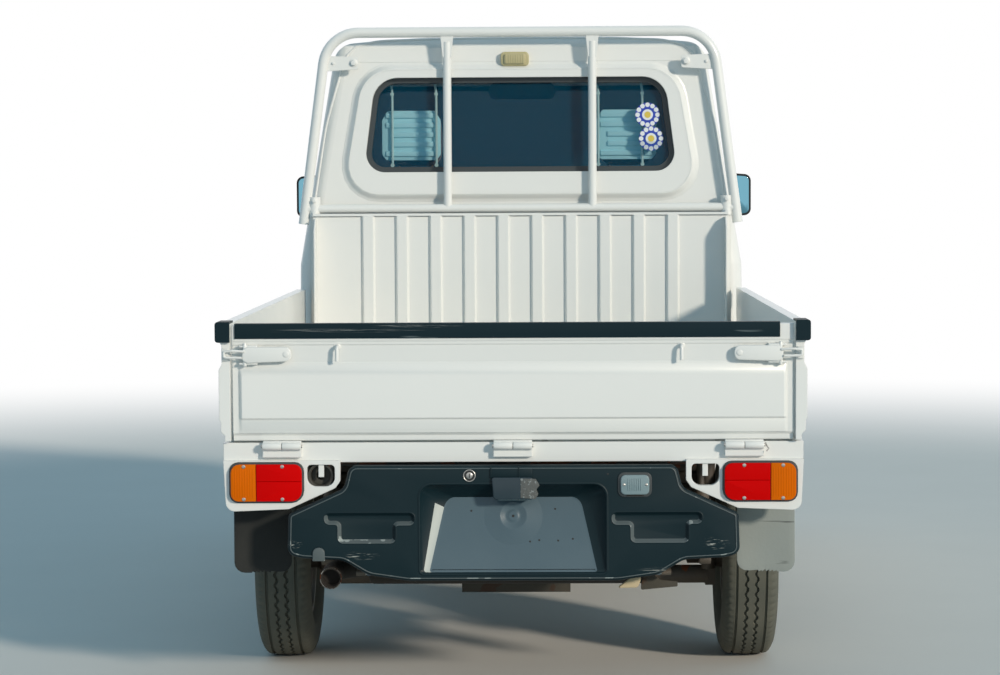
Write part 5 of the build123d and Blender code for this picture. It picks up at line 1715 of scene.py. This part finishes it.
@dataclass
class MudFlaps:
    """Rear mud flaps: sheet rubber with rounded lower corners, a slight curl and notches in the foot."""

    inner_x: float = 539.0
    outer_x: float = 678.0
    low: float = 314.0
    high: float = 500.0
    front_y: float = -1511.0
    thickness: float = 6.0
    corner: float = 26.0
    teeth: int = 6
    cuts: int = 9
    bulge: float = 5.0
    lean: float = 6.0

    def build(self) -> None:
        """Makes both flaps and their hangers."""
        hangers = Shape()
        width = self.outer_x - self.inner_x
        for name, side in (("right", 1), ("left", -1)):
            shape = Shape()
            shape.prism(
                Facing.REAR, self.outline(side), (self.front_y, self.front_y - self.thickness),
                [2.0, 2.0] + [self.corner] + [1.0] * (2 * self.teeth) + [self.corner], rim=1.2,
            )
            for k in range(1, self.cuts):
                for spot, way in (
                    ((0, 0, self.low + (self.high - self.low) * k / self.cuts), (0, 0, 1)),
                    ((side * (self.inner_x + width * k / self.cuts), 0, 0), (1, 0, 0)),
                ):
                    geometry = shape.mesh.verts[:] + shape.mesh.edges[:] + shape.mesh.faces[:]
                    bmesh.ops.bisect_plane(
                        shape.mesh, geom=geometry, plane_co=Vector(spot) * MM, plane_no=way,
                    )
            for vert in shape.mesh.verts:
                across = (abs(vert.co.x) / MM - self.inner_x) / width
                down = (self.high - vert.co.z / MM) / (self.high - self.low)
                curl = self.bulge * math.sin(across * math.pi) - self.lean * across
                vert.co.y += curl * down * MM * (1 if side > 0 else 0.5)
            # The left flap takes the darker copy of the rubber: painted shade.
            finish = FLAP if side > 0 else PAINTED_SHADE_FLAP
            shape.piece("mud_flap_" + name, "root", finish, *(("mudflaps",) if side > 0 else ()))
            x = side * 655
            hangers.block((x - 13, self.front_y - 8, 480), (x + 13, self.front_y, 593), rim=1.5)
        hangers.piece("flap_hangers", "root", CHASSIS)

    def outline(self, side: int) -> list[Pair]:
        """Corners of a flap, with small notches along its foot."""
        points = [(self.inner_x, self.high), (self.outer_x, self.high), (self.outer_x, self.low)]
        for k in range(self.teeth):
            x = self.outer_x - 42 - 9 * k
            points += [(x, self.low), (x - 1.5, self.low + 3 + (k * 5) % 4)]
        points.append((self.inner_x, self.low))
        return [(side * x, z) for x, z in points]


# Seats


@dataclass
class SeatPart:
    """One padded part of a seat, from its front face's outline to its depth."""

    name: str
    outline: tuple[Pair, ...]
    facing: Facing
    span: Pair
    radius: float
    fill: float
    swell: float = 14.0
    voxel: float = 0.009
    soften: int = 12
    pressure: float = 4.0
    frames: int = 20

    def build(self) -> Thing:
        """Makes the padded piece."""
        shape = Shape()
        shape.prism(self.facing, self.outline, self.span, self.radius, segments=6)
        part = shape.piece(self.name, "root", SEAT_CLOTH, angle=60.0)
        self.remesh(part)
        self.inflate(part)
        part.data.shade_smooth()
        return part

    @staticmethod
    def apply(part: Thing) -> None:
        """Keeps the evaluated mesh and drops the modifiers."""
        graph = bpy.context.evaluated_depsgraph_get()
        mesh = bpy.data.meshes.new_from_object(part.evaluated_get(graph))
        old = part.data
        part.modifiers.clear()
        part.data = mesh
        bpy.data.meshes.remove(old)

    def remesh(self, part: Thing) -> None:
        """Even quads for the simulation."""
        even = part.modifiers.new("even", "REMESH")
        even.mode = "VOXEL"
        even.voxel_size = self.voxel
        self.apply(part)

    def crown(self, part: Thing) -> None:
        """Quick stand-in for the simulation: softens the corners."""
        soft = part.modifiers.new("soft", "SMOOTH")
        soft.iterations = self.soften
        self.apply(part)

    def inflate(self, part: Thing) -> None:
        """Fills the pad by cloth simulation, capped at the swell, and smooths it once."""
        rest = [vert.co.copy() for vert in part.data.vertices]
        cloth = part.modifiers.new("cloth", "CLOTH")
        settings = cloth.settings
        settings.use_pressure = True
        settings.uniform_pressure_force = self.pressure
        settings.effector_weights.gravity = 0.0
        settings.quality = 5
        scene = bpy.context.scene
        for frame in range(1, self.frames + 1):
            scene.frame_set(frame)
        self.apply(part)
        scene.frame_set(1)
        limit = self.swell * MM
        for vert, start in zip(part.data.vertices, rest):
            move = vert.co - start
            if move.length > limit:
                vert.co = start + move.normalized() * limit
        finer = part.modifiers.new("finer", "SUBSURF")
        finer.levels = 1
        finer.render_levels = 1
        self.apply(part)


@dataclass
class Seats:
    """Two seats: cushions, backs and head rests in grey cloth, on pressed frames."""

    xs: Pair = (-332.0, 332.0)
    deck: float = 650.0

    def build(self) -> None:
        """Makes both seats; the first part stands for the CAD seats."""
        frames = Shape()
        for x, name in zip(self.xs, ("left", "right")):
            seat = symmetric(x, (214, 502), (206, 914))
            cushion = SeatPart("seat_cushion_" + name, seat, Facing.TOP, (672, 756), 46.0, 0.8)
            panel = symmetric(x, (208, 742), (200, 1190), (96, 1282))
            back = SeatPart("seat_back_" + name, panel, Facing.REAR, (484, 428), 44.0, 0.8, 10.0)
            pad = symmetric(x, (84, 1312), (80, 1476))
            rest = SeatPart("head_rest_" + name, pad, Facing.REAR, (484, 424), 30.0, 0.9, 6.0)
            for part in (cushion, back, rest):
                piece = part.build()
                if name == "left" and part is cushion:
                    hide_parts("seats")
            frames.block((x - 218, 500, self.deck), (x + 218, 905, 676), rim=6.0)
            for side in (-1, 1):
                frames.rod((x + side * 52, 452, 1262), (x + side * 52, 452, 1330), 5.5, sides=16)
                frames.prism(
                    Facing.SIDE, [(440, 690), (500, 690), (500, 650), (476, 650)],
                    (x + side * 218 - 6, x + side * 218 + 6), 8.0, rim=1.5,
                )
            shell = symmetric(x, (196, 735), (186, 1180), (90, 1268))
            frames.prism(Facing.REAR, shell, (432, 416), 30.0, rim=5.0)
        frames.piece("seat_frames", "root", CAB_PLASTIC)


# Inside of the cab


@dataclass
class CabInside:
    """Dials, vents, pedals, levers, visors, grab handle and lamp: what shows through the windows."""

    board_y: float = 1262.0
    deck: float = 650.0
    dials_x: Pair = (290.0, 375.0)
    dial_y: float = 1275.0
    dial_z: float = 1008.0
    dial_radius: float = 30.0

    def build(self) -> None:
        """Makes all the small inside pieces."""
        self.dials()
        self.vents()
        self.pedals()
        self.levers()
        self.visors()
        self.headliner()

    def dials(self) -> None:
        """Two round dials with plain ticks and needles, and their bezel."""
        faces, marks, bezel = Shape(), Shape(), Shape()
        y, z, radius = self.dial_y, self.dial_z, self.dial_radius
        rim = ((0, radius), (4, radius), (4, radius + 3), (0, radius + 3))
        for x in self.dials_x:
            faces.rod((x, y, z), (x, y - 2, z), radius, sides=40)
            bezel.lathe((x, y, z), REARWARD, rim, steps=40)
            for k in range(11):
                angle = math.radians(225 - 27 * k)
                ends = [
                    (x + away * math.cos(angle), y - 2.4, z + away * math.sin(angle))
                    for away in (radius - 8, radius - 3)
                ]
                marks.rod(*ends, 0.8, sides=6)
            marks.rod((x, y - 3, z), (x - 16, y - 3, z - 16), 0.9, sides=6)
        faces.piece("dial_faces", "root", SEAL)
        marks.piece("dial_marks", "root", PLAIN_WHITE)
        bezel.piece("dial_bezels", "root", CAB_PLASTIC)

    def vents(self) -> None:
        """Air vents, heater panel, tray and glove box lid of the dashboard."""
        shape, dark = Shape(), Shape()
        for x in (-520, -60, 60, 520):
            dark.block((x - 46, self.board_y - 3, 905), (x + 46, self.board_y + 2, 945), rim=1.5)
            for k in range(4):
                z = 911 + 9 * k
                shape.block((x - 42, self.board_y - 6, z), (x + 42, self.board_y - 1, z + 3), rim=0.8)
        dark.block((-90, self.board_y - 2, 842), (90, self.board_y + 2, 892), rim=1.5)
        for k in range(3):
            x, y, z = -56 + 56 * k, self.board_y, 867
            shape.rod((x, y, z), (x, y - 14, z), 13, 11, sides=28, rim=1.5)
        shape.block((-470, self.board_y - 5, 845), (-160, self.board_y + 2, 895), rim=3.0)
        shape.block((-330, self.board_y - 10, 880), (-300, self.board_y - 3, 888), rim=1.5)
        dark.piece("dash_panels", "root", SEAL)
        shape.piece("dash_fittings", "root", CAB_PLASTIC)

    def pedals(self) -> None:
        """Clutch, brake and accelerator."""
        arms, pads = Shape(), Shape()
        for x, width in ((232, 30), (322, 34), (420, 22)):
            arms.pipe(((x, 1420, 760), (x, 1400, 640), (x, 1368, 570)), 6.0)
            pads.block((x - width, 1352, 540), (x + width, 1366, 592), rim=4.0)
            half = width - 5
            for k in range(4):
                z = 547 + 11 * k
                pads.block((x - half, 1349, z), (x + half, 1353, z + 5), rim=1.0)
        arms.piece("pedal_arms", "root", CHASSIS)
        pads.piece("pedal_pads", "root", SEAL)

    def levers(self) -> None:
        """Hand brake, gear lever boot and column stalks."""
        shape, boot = Shape(), Shape()
        shape.pipe(((-36, 700, self.deck), (-36, 720, 690), (-36, 860, 745)), 9.0)
        shape.rod((-36, 800, 722), (-36, 880, 753), 13, rim=4.0)
        folds = (
            (0, 0.5), (0, 52), (8, 46), (12, 38), (20, 36), (24, 28), (34, 26), (38, 18), (54, 14),
            (54, 0.5),
        )
        boot.lathe((40, 1119, self.deck), (0, 0, 1), folds, steps=32)
        for side in (-1, 1):
            stalk = ((18, 1180, 960), (90, 1165, 985), (150, 1150, 995))
            shape.pipe([(332 + side * out, y, z) for out, y, z in stalk], 4.5)
        shape.piece("hand_levers", "root", CAB_PLASTIC)
        boot.piece("lever_boot", "root", SEAL)

    def visors(self) -> None:
        """Sun visors folded up under the roof."""
        shape = Shape()
        for x in (-300, 300):
            shape.prism(Facing.TOP, symmetric(x, (170, 1085), (160, 1190)), (1640, 1628), 20, rim=5.0)
        shape.piece("sun_visors", "root", VISOR_CLOTH)

    def headliner(self) -> None:
        """Grab handle over the passenger's door and the inside lamp."""
        shape, lamp = Shape(), Shape()
        shape.pipe(((-515, 860, 1560), (-497, 880, 1552), (-497, 1040, 1552), (-515, 1060, 1560)), 7.0)
        lamp.prism(Facing.TOP, rectangle(-40, 720, 40, 800), (1668, 1648), 10, rim=4.0)
        shape.piece("grab_handle", "root", CAB_PLASTIC)
        lamp.piece("roof_lamp", "root", LAMP_BEIGE)


@dataclass
class DoorDress:
    """Small parts of one door: lock, rubber lip along the window's foot, card, winder and mirror glass."""

    side: int
    name: str
    body: str
    sill: float = 1064.0

    def build(self) -> None:
        """Makes the door's pieces, mirrored on the left."""
        dark, metal, card, glass = Shape(), Shape(), Shape(), Shape()
        metal.rod((690, 790, 906), (699, 790, 906), 9.0, sides=28, rim=1.2)
        metal.block((698.4, 789, 900), (699.6, 791, 912))
        skin = 690 - 0.17 * (self.sill - 1000)
        dark.block((skin - 10, 664, self.sill - 6), (skin + 3, 1394, self.sill + 6), rim=2.5)
        panel = [(640, 640), (1130, 690), (1420, 700), (1440, 980), (640, 1010)]
        card.prism(Facing.SIDE, panel, (646, 640), 26.0, rim=2.0)
        card.prism(Facing.SIDE, rectangle(760, 850, 1120, 892), (642, 604), 14.0, rim=8.0)
        dark.rod((640, 1180, 800), (622, 1180, 800), 13.0, sides=24, rim=2.0)
        dark.pipe(((626, 1180, 800), (618, 1140, 780), (616, 1100, 760)), 6.0)
        dark.rod((618, 1100, 760), (596, 1100, 760), 9.0, rim=2.5)
        # The mirror glass's blue is a painted sky reflection.
        mirror = [(719, 1137), (794, 1142), (794, 1270), (719, 1276)]
        glass.prism(Facing.REAR, mirror, (1394, 1391.5), 16.0, rim=0.8)
        for shape, label, finish in (
            (metal, "lock", STEEL), (dark, "rubber", SEAL), (card, "card", CARD_PLASTIC),
            (glass, "mirror_glass", MIRROR_PAINTED_SKY),
        ):
            if self.side < 0:
                shape.flipped()
            shape.piece(f"door_{label}_{self.name}", self.body, finish)


@dataclass
class Front:
    """Headlamp bezels and flutes, cowl louvres, blank plate and the bars of the bumper's air slot."""

    nose_y: float = 1622.0
    waist: float = 700.0
    bow: float = 34.0
    half_width: float = 697.0

    def build(self) -> None:
        """Makes the front's small pieces."""
        self.plate()
        self.lamps()
        self.cowl()
        self.air_slot_bars()

    def surface(self, x: float, z: float) -> float:
        """Y of the front panel's skin at a point."""
        below, above = max(self.waist - z, 0), max(z - self.waist, 0)
        return self.nose_y - 16 * below / 355 - 32 * above / 300 - self.bow * (x / self.half_width) ** 2

    def plate(self) -> None:
        """Blank number plate on the bumper with two bolts."""
        plate, bolts = Shape(), Shape()
        plate.prism(Facing.REAR, rectangle(-165, 392, 165, 557), (1646.5, 1648.4), 10.0, rim=0.4)
        for x in (-105, 105):
            bolts.rod((x, 1647.5, 535), (x, 1649.6, 535), 5.0, sides=16)
        plate.piece("front_plate", "root", PLAIN_WHITE)
        bolts.piece("front_plate_bolts", "root", STEEL)

    def lamps(self) -> None:
        """Dark bezel and vertical flutes of each headlamp."""
        bezel, flutes = Shape(), Shape()
        for k in range(14):
            x = 446 + 14 * k
            top, foot = self.surface(x, 684), self.surface(x, 566)
            flutes.rod((x, foot - 2.2, 568), (x, top - 2.2, 682), 3.4, sides=10)
        ring = [*rectangle(430, 560, 640, 690), (430, 560)]
        for start, end in zip(ring, ring[1:]):
            spots = [tuple(a + (b - a) * k / 4 for a, b in zip(start, end)) for k in range(5)]
            bezel.pipe([(x, self.surface(x, z), z) for x, z in spots], 4.0, smooth=False)
        bezel.mirrored().piece("headlamp_bezels", "root", TRIM_PLASTIC)
        flutes.mirrored().piece("headlamp_flutes", "root", CLEAR_LENS)

    def cowl(self) -> None:
        """Air louvres below the windscreen."""
        shape = Shape()
        for k in range(16):
            x = -225 + 30 * k
            y = 1590 - 36 * (x / 692) ** 2
            for near, z in ((2, 972), (4, 960)):
                shape.block((x - 11, y + near, z), (x + 11, y + near + 8, z + 4), rim=1.2)
        shape.piece("cowl_louvres", "root", SEAL)

    def air_slot_bars(self) -> None:
        """Three bars across the bumper's air slot."""
        shape = Shape()
        for z in (398, 410, 422):
            shape.block((-296, 1632, z - 2.5), (296, 1641, z + 2.5), rim=1.5)
        shape.piece("bumper_bars", "root", TRIM_PLASTIC)


@dataclass
class Underbody:
    """What shows under the engine lid: tail pipe's rim, heat shield, bracket and dampers."""

    tail_pipe: Pair = (-436.0, 315.0)

    def build(self) -> None:
        """Makes the small pieces under the truck's tail."""
        rim, bracket, shield, damper = Shape(), Shape(), Shape(), Shape()
        x, z = self.tail_pipe
        rim.lathe((x, -1613, z), REARWARD, ((0, 24.4), (0, 26), (3, 26), (4, 25.2), (3, 24.4)), steps=40)
        rim.piece("tail_pipe_rim", "root", CHROME)
        bent = [(246, 283), (258, 290), (280, 308), (296, 334), (307, 332), (304, 300), (298, 284)]
        bracket.prism(Facing.REAR, bent, (-1560, -1572), (3, 8, 20, 3, 3, 8, 8), rim=2.5)
        bracket.piece("lid_bracket", "root", BEIGE_STEEL)
        folded = [(306, 290), (316, 318), (328, 322), (350, 300), (394, 296), (394, 284), (306, 276)]
        shield.prism(Facing.REAR, folded, (-1550, -1554), (3, 10, 10, 14, 3, 3, 3), rim=1.0)
        shield.piece("exhaust_shield", "root", CAST_AND_PAINTED_SHADE)
        for side in (-1, 1):
            damper.rod((side * 486, -1130, 300), (side * 478, -1090, 470), 19.0, sides=28, rim=3.0)
            damper.rod((side * 478, -1090, 470), (side * 474, -1075, 560), 9.0, sides=20)
            damper.rod((side * 470, -1140, 290), (side * 500, -1140, 290), 14.0, sides=24, rim=3.0)
        damper.piece("rear_dampers", "root", CHASSIS)


def main() -> None:
    """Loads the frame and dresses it."""
    logging.basicConfig(level=logging.INFO, format="%(message)s")
    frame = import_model()
    dress_nodes(frame["nodes"])
    Studio().build()
    for assembly in (
        Tailgate(), RearLamps(), RearCorners(), EngineLid(), *wheels(), CabRear(), MudFlaps(), Seats(),
        CabInside(),
        DoorDress(1, "right", "door_right"), DoorDress(-1, "left", "door_left"), Front(), Underbody(),
    ):
        assembly.build()
        LOG.info("built %s", type(assembly).__name__)


if __name__ == "__main__":
    main()
